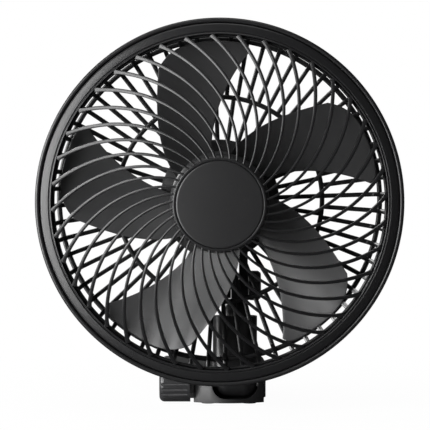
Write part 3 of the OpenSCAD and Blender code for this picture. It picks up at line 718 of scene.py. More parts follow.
def placed(name: str, mesh: bpy.types.Mesh, finish: Finish, crisp: float) -> bpy.types.Object:
    """Puts a mesh in the scene with its finish and smooth shading.

    Args:
        name: The piece's name.
        mesh: The mesh, in the model's own frame.
        finish: The finish to give it.
        crisp: Edges over this angle, in degrees, stay crisp.

    Returns:
        The new object.
    """
    mesh.name = name
    mesh.shade_smooth()
    mesh.set_sharp_from_angle(angle=math.radians(crisp))
    mesh.materials.clear()
    mesh.materials.append(finish.material)
    return in_scene(name, mesh)


def lathe(name: str, outline: Sequence[Point2], finish: Finish, segments: int,
          crisp: float = CRISP, frame_at: Matrix | None = None) -> bpy.types.Object:
    """Turns a closed outline of radius and height about Z.

    Args:
        name: The piece's name.
        outline: Closed outline as radius and height, in millimetres.
        finish: The finish to give it.
        segments: Steps round the axis.
        crisp: Edges over this angle, in degrees, stay crisp.
        frame_at: The local frame's place in the model, if not the fan's axis.

    Returns:
        The turned piece.
    """
    count = len(outline)
    verts, faces = [], []
    for s in range(segments):
        a = 2 * math.pi * s / segments
        verts += [tuple(c * MM for c in (r * math.cos(a), r * math.sin(a), z)) for r, z in outline]
        n = (s + 1) % segments
        for i in range(count):
            j = (i + 1) % count
            if outline[i][0] >= TINY or outline[j][0] >= TINY:
                faces.append((s * count + i, n * count + i, n * count + j, s * count + j))
    mesh = bpy.data.meshes.new(name)
    mesh.from_pydata(verts, [], faces)
    with editing(mesh) as bm:
        bmesh.ops.remove_doubles(bm, verts=bm.verts, dist=TURNED_MERGE)
        bmesh.ops.dissolve_degenerate(bm, dist=TURNED_MERGE, edges=bm.edges)
        bmesh.ops.recalc_face_normals(bm, faces=bm.faces)
    mesh.transform(on_axis() if frame_at is None else frame_at)
    return placed(name, mesh, finish, crisp)


def eased_copy(name: str, node: str, finish: Finish, width: float,
               angle: float) -> bpy.types.Object:
    """Copies a CAD node's shape and eases its hard edges.

    Args:
        name: The new piece's name.
        node: The CAD node to copy.
        finish: The finish to give it.
        width: Width of the eased edge, in millimetres.
        angle: Edges over this angle, in degrees, are eased.

    Returns:
        The eased piece.
    """
    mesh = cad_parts[node].data.copy()
    with editing(mesh) as bm:
        bmesh.ops.remove_doubles(bm, verts=bm.verts, dist=COPY_MERGE)
        bmesh.ops.dissolve_degenerate(bm, dist=COPY_MERGE, edges=bm.edges)
        bmesh.ops.dissolve_limit(bm, angle_limit=math.radians(FLAT), verts=bm.verts,
                                 edges=bm.edges)
        limit = math.radians(angle)
        hard = [e for e in bm.edges if e.is_manifold and e.calc_face_angle(0.0) > limit]
        if hard:
            bmesh.ops.bevel(bm, geom=hard, offset=width * MM, offset_type="OFFSET",
                            segments=EASE_STEPS, profile=EASE_FULLNESS, affect="EDGES",
                            clamp_overlap=True)
        bmesh.ops.triangulate(bm, faces=[f for f in bm.faces if len(f.verts) > 4])
    return placed(name, mesh, finish, CRISP_COPY)


def joined(name: str, parts: Sequence[bpy.types.Object]) -> bpy.types.Object:
    """Joins finished pieces of one finish into one piece.

    Args:
        name: The new piece's name.
        parts: The pieces; they are used up.

    Returns:
        The joined piece.
    """
    whole, *others = parts
    with editing(whole.data) as bm:
        for part in others:
            bm.from_mesh(part.data)
    for part in others:
        spare = part.data
        bpy.data.objects.remove(part)
        bpy.data.meshes.remove(spare)
    whole.name = whole.data.name = name
    return whole


def facing_out(piece: bpy.types.Object) -> bpy.types.Object:
    """Turns the faces of a closed piece outward.

    Args:
        piece: The piece to mend.

    Returns:
        The same piece.
    """
    with editing(piece.data) as bm:
        bmesh.ops.recalc_face_normals(bm, faces=bm.faces)
    return piece


class Recipe(Group):
    """A geometry node tree with named sizes, run once and kept as a plain mesh."""

    def __init__(self, name: str, sizes: dict[str, float | int]) -> None:
        """Makes the tree.

        Args:
            name: The tree's name.
            sizes: Each named input with the value it runs with, lengths in metres.
        """
        super().__init__(name, "GeometryNodeTree", sizes, {"Geometry": "NodeSocketGeometry"})
        self.values = sizes

    def index(self) -> Num:
        """Returns the number of each point."""
        return Num(self, self.output("GeometryNodeInputIndex"))

    def vector(self, x: Value = 0.0, y: Value = 0.0, z: Value = 0.0) -> Socket:
        """Joins three numbers into a vector."""
        return self.output("ShaderNodeCombineXYZ", {"X": x, "Y": y, "Z": z})

    def polar(self, radius: Num, angle: Num, z: Num) -> Socket:
        """Returns the vector at a radius, an angle in radians and a height."""
        return self.vector(radius * angle.cosine(), radius * angle.sine(), z)

    def shaped(self, geometry: Socket, position: Socket) -> Socket:
        """Moves every point to a position of its own."""
        return self.output("GeometryNodeSetPosition", {"Geometry": geometry, "Position": position})

    def shifted(self, geometry: Socket, place: object) -> Socket:
        """Moves a whole geometry."""
        return self.output("GeometryNodeTransform", {"Geometry": geometry, "Translation": place})

    def on_points(self, points: Socket, geometry: Socket, turn: Socket | None = None) -> Socket:
        """Repeats a geometry on points, each turned by its own angles."""
        more = {} if turn is None else {"Rotation": turn}
        return self.output("GeometryNodeInstanceOnPoints", {
            "Points": points, "Instance": geometry, **more})

    def fillet(self, curve: Socket, radius: Value, steps: int) -> Socket:
        """Rounds the corners of a curve made of straight lines."""
        return self.output("GeometryNodeFilletCurve", {
            "Curve": curve, "Radius": radius, "Count": steps, "Limit Radius": True}, mode="POLY")

    def bar_profile(self, width: Value, height: Value, radius: Value) -> Socket:
        """Returns a rectangle with rounded corners as a profile curve."""
        flat = self.output("GeometryNodeCurvePrimitiveQuadrilateral", {
            "Width": width, "Height": height})
        return self.fillet(flat, radius, 2)

    def path(self, points: Sequence[tuple[Value, Value, Value]]) -> Socket:
        """Returns a curve of straight lines through points."""
        line = self.output("GeometryNodeMeshLine", {"Count": len(points)})
        return self.output("GeometryNodeMeshToCurve", {
            "Mesh": self.shaped(line, self.picked(points, self.index()))})

    def picked(self, points: Sequence[tuple[Value, Value, Value]], number: Num) -> Socket:
        """Runs through given points.

        Args:
            points: The points to choose from.
            number: Which of them to take, from 0.

        Returns:
            The chosen point.
        """
        pick = self.add("GeometryNodeIndexSwitch", data_type="VECTOR")
        while len(pick.index_switch_items) < len(points):
            pick.index_switch_items.new()
        self.put(pick.inputs[0], number)
        for i, point in enumerate(points):
            self.put(pick.inputs[i + 1], self.vector(*point))
        return pick.outputs[0]

    def grid(self, rows: Num, columns: Value) -> tuple[Socket, Num, Num]:
        """Adds a grid.

        Args:
            rows: Its number of rows.
            columns: Its number of columns.

        Returns:
            The grid, and the row and the column of each of its points.
        """
        flat = self.output("GeometryNodeMeshGrid", {"Vertices X": rows, "Vertices Y": columns})
        index = self.index()
        row = self.math("FLOOR", (index + 0.5) / columns)
        return flat, row, index - row * columns

    def sealed(self, geometry: Socket, position: Socket) -> Socket:
        """Moves a grid's points and joins the edges that meet."""
        return self.output("GeometryNodeMergeByDistance", {
            "Geometry": self.shaped(geometry, position), "Distance": 0.01 * MM})

    def sweep(self, curve: Socket, profile: Socket) -> Socket:
        """Sweeps a profile along a curve, with its normals kept upright."""
        upright = self.output("GeometryNodeSetCurveNormal", {"Curve": curve}, mode="Z_UP")
        return self.output("GeometryNodeCurveToMesh", {
            "Curve": upright, "Profile Curve": profile, "Fill Caps": True})

    def around(self, mesh: Socket, count: Num, start: Value = 0.0) -> Socket:
        """Repeats a mesh about Z.

        Args:
            mesh: What to repeat.
            count: How often.
            start: Angle of the first, in radians.

        Returns:
            The repeated mesh.
        """
        turn = self.vector(z=self.index() * (2 * math.pi / count) + start)
        return self.on_points(self.output("GeometryNodePoints", {"Count": count}), mesh, turn)

    def join(self, *parts: Socket) -> Socket:
        """Joins several geometries.

        Args:
            parts: The geometries, in the order in which they are kept.

        Returns:
            All of them as one geometry.
        """
        node = self.add("GeometryNodeJoinGeometry")
        for part in reversed(parts):
            self.tree.links.new(part, node.inputs[0])
        return node.outputs[0]

    def make(self, geometry: Socket, piece: str, finish: Finish, crisp: float,
             frame_at: Matrix | None = None) -> bpy.types.Object:
        """Ends the tree, runs it and keeps the result as a plain mesh.

        Args:
            geometry: The socket to end with.
            piece: The piece's name.
            finish: The finish to give it.
            crisp: Edges over this angle, in degrees, stay crisp.
            frame_at: The local frame's place in the model, if not the fan's axis.

        Returns:
            The finished piece.
        """
        real = self.output("GeometryNodeRealizeInstances", {"Geometry": geometry})
        self.end({"Geometry": self.output("GeometryNodeSetMaterial", {
            "Geometry": real, "Material": finish.material})})
        carrier = in_scene(f"{piece}_carrier", bpy.data.meshes.new(f"{piece}_carrier"))
        modifier = carrier.modifiers.new(self.tree.name, "NODES")
        modifier.node_group = self.tree
        for item in self.tree.interface.items_tree:
            if item.item_type == "SOCKET" and item.in_out == "INPUT":
                modifier[item.identifier] = self.values[item.name]
        bpy.context.view_layer.update()
        graph = bpy.context.evaluated_depsgraph_get()
        mesh = bpy.data.meshes.new_from_object(carrier.evaluated_get(graph), depsgraph=graph)
        carrier.modifiers.remove(modifier)
        empty = carrier.data
        bpy.data.objects.remove(carrier)
        bpy.data.meshes.remove(empty)
        mesh.transform(on_axis() if frame_at is None else frame_at)
        return placed(piece, mesh, finish, crisp)


# Sub-assemblies ----------------------------------------------------------------


class SubAssembly:
    """A group of pieces that ride together."""

    body = Body.HEAD

    def keep(self, piece: bpy.types.Object, finish: Finish, *nodes: str,
             body: Body | None = None) -> bpy.types.Object:
        """Puts a finished piece on its body, in place of the nodes it stands for.

        Args:
            piece: The finished piece.
            finish: The finish it wears; not used.
            nodes: The CAD nodes that it stands for.
            body: The body it rides on, if not the sub-assembly's own.

        Returns:
            The piece.
        """
        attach(piece, (body or self.body).value)
        if nodes:
            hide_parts(*nodes)
        LOG.info("%s: %d faces on %s for %s", piece.name, len(piece.data.polygons),
                 (body or self.body).value, ", ".join(nodes) or "nothing")
        return piece

    def wear(self, finish: Finish, *nodes: str) -> None:
        """Gives CAD nodes that keep their shape a finish.

        Args:
            finish: The finish to give them.
            nodes: The CAD nodes.
        """
        for node in nodes:
            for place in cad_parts[node].material_slots:
                place.material = finish.material
            LOG.info("%s: wears %s", node, finish.name)

    def ease(self, node: str, finish: Finish, width: float, body: Body | None = None,
             angle: float = 40.0) -> bpy.types.Object:
        """Stands an eased copy in for a CAD node.

        Args:
            node: The CAD node.
            finish: The finish to give it.
            width: Width of the eased edges, in millimetres.
            body: The body it rides on, if not the sub-assembly's own.
            angle: Edges over this angle, in degrees, are eased.

        Returns:
            The eased piece.
        """
        copy = eased_copy(f"{node}_eased", node, finish, width, angle)
        return self.keep(copy, finish, node, body=body)

    def build(self) -> None:
        """Builds the pieces that Blender shapes."""
        raise NotImplementedError

    def dress(self) -> None:
        """Dresses the CAD nodes that stay."""


@dataclass(frozen=True)
class Screw:
    """A pan-head screw with a cross recess, its head towards -Z; sizes in millimetres."""

    shank_r: float
    length: float
    head_r: float
    head_t: float
    head_taper: float = 0.74
    recess: float = 0.62
    recess_width: float = 0.24
    recess_depth: float = 0.5
    head_sides: int = 24
    shank_sides: int = 16

    def shape(self, recipe: Recipe) -> Socket:
        """Adds the screw to a recipe.

        Args:
            recipe: The recipe to add it to.

        Returns:
            The screw's geometry.
        """
        top = (0, 0, -self.head_t * MM)
        head = recipe.shifted(recipe.output("GeometryNodeMeshCone", {
            "Vertices": self.head_sides, "Radius Top": self.head_r * MM,
            "Radius Bottom": self.head_r * self.head_taper * MM, "Depth": self.head_t * MM}), top)
        cut = recipe.add("GeometryNodeMeshBoolean", {0: head}, operation="DIFFERENCE",
                         solver="EXACT")
        across, deep = 2 * self.recess * self.head_r * MM, self.head_t * self.recess_depth * MM
        narrow = across * self.recess_width
        for size in ((across, narrow, deep), (narrow, across, deep)):
            bar = recipe.shifted(recipe.output("GeometryNodeMeshCube", {"Size": size}), top)
            recipe.tree.links.new(bar, cut.inputs[1])
        shank = recipe.output("GeometryNodeMeshCylinder", {
            "Vertices": self.shank_sides, "Radius": self.shank_r * MM, "Depth": self.length * MM})
        return recipe.join(cut.outputs[0], recipe.shifted(shank, (0, 0, self.length * MM / 2)))

    def on_circle(self, name: str, count: int, radius: float, start: float,
                  z: float) -> bpy.types.Object:
        """Makes a ring of these screws about the fan's axis.

        Args:
            name: The piece's name.
            count: Number of screws.
            radius: Radius of their circle.
            start: Angle of the first, in degrees.
            z: Height of the heads' seats.

        Returns:
            The screws as one piece.
        """
        r = Recipe(name, {
            "Count": count, "Circle": radius * MM, "Seat": z * MM, "Start": math.radians(start)})
        out = r.shifted(self.shape(r), r.vector(r.size("Circle"), 0.0, r.size("Seat")))
        ring = r.around(out, r.size("Count"), r.size("Start"))
        return r.make(ring, name, Finish.fastener_steel, CRISP_SCREW)

    def at_places(self, name: str, places: Sequence[Point3], frame_at: Matrix) -> bpy.types.Object:
        """Makes screws at several places, given in millimetres.

        Args:
            name: The piece's name.
            places: The middle of each head's seat.
            frame_at: The screws' frame.

        Returns:
            The screws as one piece.
        """
        r = Recipe(name, {"Count": len(places)})
        line = r.output("GeometryNodeMeshLine", {"Count": r.size("Count")})
        points = r.shaped(line, r.picked([tuple(c * MM for c in p) for p in places], r.index()))
        return r.make(r.on_points(points, self.shape(r)), name, Finish.fastener_steel,
                      CRISP_SCREW, frame_at)


@dataclass(frozen=True)
class Guard(SubAssembly):
    """The front ring with its spiral grille and cap, and the rear cage; sizes in millimetres."""

    radius: float = 115.0
    band_in: float = 112.1
    ring_out: float = 111.8
    ring_in: float = 104.6
    seat_in: float = 102.9
    seat_depth: float = 5.0
    seat_t: float = 2.2
    face_drop: float = 1.9
    face_edge: Point2 = (0.8, 0.6)
    ring_round: float = 0.28
    # Groove and bead along the ring's inner edge: how far out from it, and how high.
    bead: tuple[Point2, ...] = (
        (2.1, 0.0), (1.9, -0.6), (1.4, -0.6), (1.2, 0.1), (0.7, 0.4), (0.3, 0.2), (0.0, -0.5))
    wall: float = 1.6
    band_depth: float = 15.0
    band_drop: float = 2.4
    band_lip: float = 1.0
    band_bevels: tuple[float, float] = (0.6, 0.8)
    band_edge: float = 0.5
    band_slope: float = 0.6
    side_in: float = 6.0
    side_t: float = 2.6
    rib_count: int = 40
    rib_rows: int = 50
    rib_sweep: float = 43.0
    rib_start: float = 4.85
    rib_w: float = 1.5
    rib_rim_w: float = 2.5
    rib_h: float = 3.0
    rib_flare: float = 0.5
    rib_flare_length: float = 4.0
    # Where the ribs start outside the cap and stop inside the ring.
    rib_gaps: tuple[float, float] = (0.8, 0.1)
    # A rib's section, from the middle of its top: shares of half its width and of its height.
    rib_section: tuple[Point2, ...] = (
        (-1.0, -0.9), (-0.86, -1.0), (0.86, -1.0), (1.0, -0.9), (0.84, -0.07), (0.8, -0.02),
        (0.72, 0.0), (-0.72, 0.0), (-0.8, -0.02), (-0.84, -0.07))
    dome_h: float = 20.5
    dome_power: float = 2.6
    cap_r: float = 27.0
    cap_t: float = 1.6
    cap_sink: float = 1.0
    cap_crown: float = 0.9
    cap_chamfer: float = 0.1
    # The cap's rounded edge: how far below its top it starts, and how far in it ends.
    cap_edge: tuple[float, float] = (0.45, 0.15)
    cap_inset: tuple[float, ...] = (0.5, 1.2)
    cap_steps: tuple[float, ...] = (22.0, 18.0, 14.0, 9.0, 4.0, 0.0)
    hub_t: float = 3.5
    hub_wall: tuple[float, float] = (0.2, 1.9)
    hub_lip: float = 0.4
    hub_edge: float = 0.4
    # The rim's play against the seat that holds it and against the ring, and its rounding.
    rim_play: tuple[float, float] = (0.3, 0.2)
    rim_edge: float = 0.5
    flat_z: float = -42.0
    hoop_r: float = 101.4
    hoop_w: float = 3.2
    mid_hoop_r: float = 65.0
    mid_hoop_w: float = 3.0
    seat_r: float = 37.7
    seat_w: float = 7.4
    # Back and front of each hoop and of the motor's seat from the cage's flat, and the rounding.
    hoop_section: Point3 = (1.6, 5.0, 1.1)
    mid_hoop_section: Point3 = (-0.6, 2.8, 1.0)
    seat_section: Point3 = (-2.4, 2.4, 0.3)
    outer_spokes: int = 60
    inner_spokes: int = 36
    spoke_w: float = 2.8
    spoke_t: float = 2.4
    spoke_edge: float = 0.7
    spoke_bend: float = 4.0
    spoke_start: float = 2.0
    # The outer spokes' corners about the outer hoop: out from it, and forward of the flat.
    spoke_corners: tuple[Point2, ...] = ((-3.4, 2.4), (1.4, 7.2))
    spoke_rise: float = 1.0
    spoke_sink: float = 0.2
    spoke_side_gap: float = 1.3
    spoke_hold: float = 1.5
    screw_count: int = 6
    screw_start: float = 35.0

    @property
    def cap_back(self) -> float:
        """Returns the height of the grille's hub, where the cap sits."""
        return self.dome_h - self.cap_sink

    @property
    def side_r(self) -> float:
        """Returns the radius at which the rear cage leaves the band."""
        return self.radius - self.side_in

    def front_ring(self) -> bpy.types.Object:
        """Turns the stepped front ring."""
        out, inner, wall, drop = self.ring_out, self.ring_in, self.wall, self.face_drop
        back, seat = -(self.band_depth - wall), -self.seat_depth
        edge_w, edge_h = self.face_edge
        face = soften([
            (out, back), (out, -drop), (out - edge_w, -drop + edge_h),
            *[(inner + away, z) for away, z in self.bead],
            (inner, seat), (self.seat_in, seat), (self.seat_in, seat - self.seat_t),
            (inner, seat - self.seat_t), (inner, back), (inner + wall, back),
            (inner + wall, -drop - wall), (out - wall, -drop - wall), (out - wall, back)],
            self.ring_round)
        return lathe("front_ring_turned", face, Finish.guard_black, 288, CRISP_RING)

    def ribs(self) -> bpy.types.Object:
        """Lays the spiral ribs from the hub to the ring, wider and flared at the rim."""
        r = Recipe("spiral_ribs", {
            "Ribs": self.rib_count, "Rows": self.rib_rows,
            "Inner Radius": (self.cap_r + self.rib_gaps[0]) * MM,
            "Outer Radius": (self.ring_in - self.rib_gaps[1]) * MM,
            "Start": math.radians(self.rib_start),
            "Sweep": math.radians(self.rib_sweep), "Dome": self.dome_h * MM,
            "Power": self.dome_power, "Rim Radius": self.ring_in * MM,
            "Hub Width": self.rib_w * MM, "Rim Width": self.rib_rim_w * MM,
            "Height": self.rib_h * MM, "Flare": self.rib_flare,
            "Flare Length": self.rib_flare_length * MM})
        inner, outer = r.size("Inner Radius"), r.size("Outer Radius")
        hub_width = r.size("Hub Width")
        section = self.rib_section + self.rib_section[:1]
        flat, row, column = r.grid(r.size("Rows"), len(section))
        # The first and the last row close the rib's ends: they shrink onto one point.
        last = r.size("Rows") - 3.0
        t = (row - 1.0).at_least(0.0).at_most(last) / last
        still_open = row.at_most(last + 2.0 - row).sign()
        reach = outer - inner
        radius = t * reach + inner
        angle = t * r.size("Sweep") + r.size("Start")
        dome = r.size("Dome") * (1.0 - (radius / r.size("Rim Radius")) ** r.size("Power"))
        near = 1.0 - (outer - radius) / r.size("Flare Length")
        flare = near.at_least(0.0) ** 2.0 * r.size("Flare") + 1.0
        width = flare * (t * (r.size("Rim Width") - hub_width) + hub_width)
        side_share, depth_share, _ = r.parts(r.picked([(x, z, 0.0) for x, z in section], column))
        across = side_share * still_open * (width * 0.5)
        below = depth_share * still_open + (still_open * 0.5 + -0.5)
        # Each section stands square to the spiral, which leans from the radius by this much.
        lean = radius * (r.size("Sweep") / reach)
        side = across / r.math("SQRT", lean * lean + 1.0)
        out = radius - side * lean
        cosine, sine = angle.cosine(), angle.sine()
        place = r.vector(out * cosine - side * sine, out * sine + side * cosine,
                         below * r.size("Height") + dome)
        ring = r.around(r.sealed(flat, place), r.size("Ribs"))
        return facing_out(r.make(ring, "spiral_ribs", Finish.guard_black, CRISP_RIB))

    def rim_and_hub(self) -> tuple[bpy.types.Object, bpy.types.Object]:
        """Turns the grille's rim and the hub that carries the cap."""
        inner, outer = self.seat_in + self.rim_play[0], self.ring_in - self.rim_play[1]
        low, high = -self.seat_depth, -self.rib_h + 0.1
        rim = lathe("grille_rim", soften(
            [(inner, low), (outer, low), (outer, high), (inner, high)], self.rim_edge),
            Finish.guard_black, 240)
        back, low = self.cap_back, self.cap_back - self.hub_t
        lip = back + self.cap_t - self.hub_lip
        inner, outer = (self.cap_r + w for w in self.hub_wall)
        hub = lathe("grille_hub", soften([
            (0.0, low), (outer, low), (outer, lip), (inner, lip), (inner, back), (0.0, back)],
            self.hub_edge), Finish.guard_black, 144)
        return rim, hub

    def cap(self) -> bpy.types.Object:
        """Turns the crowned hub cap."""
        back, c = self.cap_back, self.cap_r
        top = back + self.cap_t + self.cap_crown
        edge = top - self.cap_crown
        steps = [c - w for w in self.cap_inset] + list(self.cap_steps)
        crown = [(r, top - self.cap_crown * (r / c) ** 2) for r in steps]
        chamfer, (fall, near) = self.cap_chamfer, self.cap_edge
        outline = [(0.0, back), (c - chamfer, back), (c, back + chamfer), (c, edge - fall),
                   (c - near, edge - near), *crown]
        return lathe("hub_cap_turned", outline, Finish.cap_black, 144)

    def rear_band(self) -> bpy.types.Object:
        """Turns the outer band that joins the two halves."""
        full, inner, deep = self.radius, self.band_in, self.band_depth
        drop, lip, (bevel, outer_bevel) = self.face_drop, self.band_lip, self.band_bevels
        low, step = -deep - self.band_drop, self.wall - deep
        return lathe("rear_band", soften([
            (inner, -drop), (inner + bevel, -lip), (full - outer_bevel, -lip), (full, -drop),
            (full, -deep + 1), (full - self.band_drop, low), (self.side_r - self.side_t, low),
            (self.ring_in, -deep + self.band_slope - self.wall), (self.ring_in, step),
            (inner, step)], self.band_edge), Finish.guard_black, 288, CRISP_RING)

    def hoops(self) -> bpy.types.Object:
        """Turns the rear cage's two hoops and the seat ring of the motor."""
        half, mid_half = self.hoop_w / 2, self.mid_hoop_w / 2
        rings = []
        for name, near, far, (back, front, edge) in (
                ("outer_hoop", self.hoop_r - half, self.hoop_r + half, self.hoop_section),
                ("middle_hoop", self.mid_hoop_r - mid_half, self.mid_hoop_r + mid_half,
                 self.mid_hoop_section),
                ("motor_seat", self.seat_r - self.seat_w, self.seat_r, self.seat_section)):
            low, high = self.flat_z + back, self.flat_z + front
            section = [(near, low), (far, low), (far, high), (near, high)]
            rings.append(lathe(name, soften(section, edge, 4), Finish.guard_black, 200))
        return joined("rear_hoops", rings)

    def spokes(self) -> bpy.types.Object:
        """Sweeps the rear cage's spokes, bent over the outer hoop."""
        r = Recipe("cage_spokes", {
            "Outer Spokes": self.outer_spokes, "Inner Spokes": self.inner_spokes,
            "Middle Radius": self.mid_hoop_r * MM,
            "Seat Radius": (self.seat_r - self.spoke_hold) * MM,
            "Hoop Radius": self.hoop_r * MM, "Side Radius": self.side_r * MM,
            "Flat": self.flat_z * MM, "Band": -(self.band_depth + 1) * MM,
            "Spoke Width": self.spoke_w * MM, "Spoke Thickness": self.spoke_t * MM,
            "Bend": self.spoke_bend * MM, "Edge": self.spoke_edge * MM,
            "Start": math.radians(self.spoke_start)})
        flat, hoop = r.size("Flat"), r.size("Hoop Radius")
        on_middle = (r.size("Middle Radius"), 0.0, flat + self.spoke_rise * MM)
        outer = r.path([
            on_middle, *[(hoop + out * MM, 0.0, flat + up * MM) for out, up in self.spoke_corners],
            (r.size("Side Radius") - self.spoke_side_gap * MM, 0.0, r.size("Band"))])
        inner = r.path([(r.size("Seat Radius"), 0.0, flat - self.spoke_sink * MM), on_middle])
        profile = r.bar_profile(r.size("Spoke Width"), r.size("Spoke Thickness"), r.size("Edge"))
        bent = r.fillet(outer, r.size("Bend"), 5)
        both = r.join(r.around(r.sweep(bent, profile), r.size("Outer Spokes"), r.size("Start")),
                      r.around(r.sweep(inner, profile), r.size("Inner Spokes"), r.size("Start")))
        return r.make(both, "cage_spokes", Finish.guard_black, CRISP_RING)

    def build(self) -> None:
        """Builds the guard's pieces."""
        black = Finish.guard_black
        self.keep(self.front_ring(), black, "front_ring")
        self.keep(self.ribs(), black, "front_grille")
        for piece in self.rim_and_hub():
            self.keep(piece, black, "front_grille")
        self.keep(self.cap(), Finish.cap_black, "hub_cap")
        for piece in (self.rear_band(), self.hoops(), self.spokes()):
            self.keep(piece, black, "rear_grille")
        back = self.band_depth - self.wall
        screws = Screw(shank_r=0.78, length=back - 2, head_r=1.7, head_t=1.2).on_circle(
            "guard_screws_made", self.screw_count, (self.ring_in + self.ring_out) / 2,
            self.screw_start, -back - self.band_drop)
        self.keep(screws, Finish.fastener_steel, "guard_screws")


@dataclass(frozen=True)
class Impeller(SubAssembly):
    """The five twisted blades on their hub, with the shaft and its nut; sizes in millimetres.

    The angles are in degrees: where each of a blade's edges starts at the hub, how far it sweeps
    back by the tip, and how far the trailing edge curls on again.
    """

    body = Body.IMPELLER
    blade_count: int = 5
    tip_r: float = 100.6
    hub_r: float = 31.0
    hub_back: float = -35.6
    hub_front: float = 13.0
    hub_round: float = 5.0
    hub_wall: float = 2.0
    # The ring groove in the hub's face: radii of its slopes, outer side first.
    face_groove: tuple[float, float, float, float] = (14.0, 13.4, 11.6, 11.0)
    face_groove_depth: float = 0.5
    nut_recess_r: float = 5.0
    nut_recess_depth: float = 1.0
    boss_wall: float = 3.0
    boss_back: float = -20.0
    shaft_r: float = 2.0
    shaft_gap: float = 0.02
    shaft_ease: tuple[float, float] = (0.4, 0.5)
    blade_t: float = 1.6
    blade_z: float = -18.0
    rise: float = 20.0
    rise_loss: float = 0.25
    camber: float = 3.2
    lead_round: float = 5.0
    lead_power: float = 6.0
    trail_round: float = 9.0
    trail_power: float = 4.0
    edge_fullness: float = 0.6
    lead_angles: tuple[float, float] = (27.6, 22.7)
    trail_angles: tuple[float, float, float] = (78.3, 58.2, 19.8)
    rows: int = 30
    around: int = 57
    # The last rows close the blade's tip, in the last share of its length.
    tip_rows: float = 6.0
    tip_from: float = 0.985

    def blades(self) -> bpy.types.Object:
        """Lays both skins of a blade over a grid and repeats it about the shaft."""
        lead_start, lead_sweep = (math.radians(a) for a in self.lead_angles)
        trail_start, trail_sweep, trail_curl = (math.radians(a) for a in self.trail_angles)
        r = Recipe("blades", {
            "Blades": self.blade_count, "Around": self.around, "Rows": self.rows,
            "Root Radius": (self.hub_r - 1) * MM, "Hub Radius": self.hub_r * MM,
            "Tip Radius": self.tip_r * MM, "Leading Round": self.lead_round * MM,
            "Trailing Round": self.trail_round * MM, "Rise": self.rise * MM,
            "Camber": self.camber * MM, "Thickness": self.blade_t * MM,
            "Middle": self.blade_z * MM, "Lead Start": lead_start, "Lead Sweep": lead_sweep,
            "Trail Start": trail_start, "Trail Sweep": trail_sweep, "Trail Curl": trail_curl})
        flat, row, column = r.grid(r.size("Rows"), r.size("Around"))
        # Each row runs once round the blade's section: u goes from the lead edge to the other.
        theta = column * (2 * math.pi / (r.size("Around") - 1.0))
        u = theta.cosine() * -0.5 + 0.5
        edge = u * 2.0 - 1.0
        # Along the blade, v runs evenly and then slows down while the tip closes.
        straight = r.size("Rows") - (1.0 + self.tip_rows)
        turn = (row - straight).at_least(0.0) * (math.pi / 2 / self.tip_rows)
        v = turn.sine() * (1 - self.tip_from) + row.at_most(straight) / straight * self.tip_from
        ahead = (edge * -1.0).at_least(0.0) ** self.lead_power
        behind = edge.at_least(0.0) ** self.trail_power
        hub, root, tip_r = r.size("Hub Radius"), r.size("Root Radius"), r.size("Tip Radius")
        tip = tip_r - (ahead * r.size("Leading Round") + behind * r.size("Trailing Round"))
        radius = v * (tip - root) + root
        share = (radius - hub) / (tip_r - hub)
        lead = r.size("Lead Start") - share * r.size("Lead Sweep")
        trail = share * share * r.size("Trail Curl") + (
            r.size("Trail Start") - share * r.size("Trail Sweep"))
        angle = u * (trail - lead) + lead
        lift = r.size("Rise") * (v * -self.rise_loss + 1.0) * (u - 0.5)
        sag = r.size("Camber") * (1.0 - edge * edge)
        sine = theta.sine()
        skin = sine.sign() * abs(sine) ** self.edge_fullness
        half = r.size("Thickness") * 0.5 * (skin * turn.cosine().at_least(0.0))
        height = r.size("Middle") + (lift - sag) + half
        ring = r.around(r.sealed(flat, r.polar(radius, angle, height)), r.size("Blades"))
        return facing_out(r.make(ring, "blades", Finish.blade_grey, CRISP_BLADE))

    def hub(self) -> bpy.types.Object:
        """Turns the hollow hub with its shaft boss."""
        w, front, r, bend = self.hub_wall, self.hub_front, self.hub_r, self.hub_round
        bore, boss = self.shaft_r + self.shaft_gap, self.shaft_r + self.boss_wall
        recess, low = self.nut_recess_r, front - self.nut_recess_depth
        shoulder = [(r - bend + bend * math.cos(a), front - bend + bend * math.sin(a))
                    for a in (math.radians(d) for d in range(0, 91, 10))]
        floor = front - self.face_groove_depth
        groove = list(zip(self.face_groove, (front, floor, floor, front)))
        outline = [(r - w, self.hub_back), (r, self.hub_back), *shoulder, *groove,
                   (recess, front), (recess, low), (bore, low), (bore, self.boss_back),
                   (boss, self.boss_back), (boss, front - w), (r - bend, front - w),
                   (r - w, front - bend)]
        return lathe("impeller_hub", outline, Finish.blade_grey, 120)

    def shaft(self) -> bpy.types.Object:
        """Turns the shaft with its eased ends."""
        s = self.shaft_r
        low, high = frame_depth("motor_shaft")
        back, front = self.shaft_ease
        return lathe("motor_shaft_turned", [
            (0.0, low), (s - back, low), (s, low + back), (s, high - front), (s - front, high),
            (0.0, high)], Finish.bearing_steel, 32)

    def build(self) -> None:
        """Builds the blades, the hub, the shaft and the nut."""
        self.keep(self.blades(), Finish.blade_grey, "impeller")
        self.keep(self.hub(), Finish.blade_grey, "impeller")
        self.keep(self.shaft(), Finish.bearing_steel, "motor_shaft")
        self.ease("impeller_nut", Finish.fastener_steel, 0.25)

    def dress(self) -> None:
        """Dresses the rotor inside the hub."""
        self.wear(Finish.can_steel, "rotor_can")
        self.wear(Finish.magnet_black, "rotor_magnets")


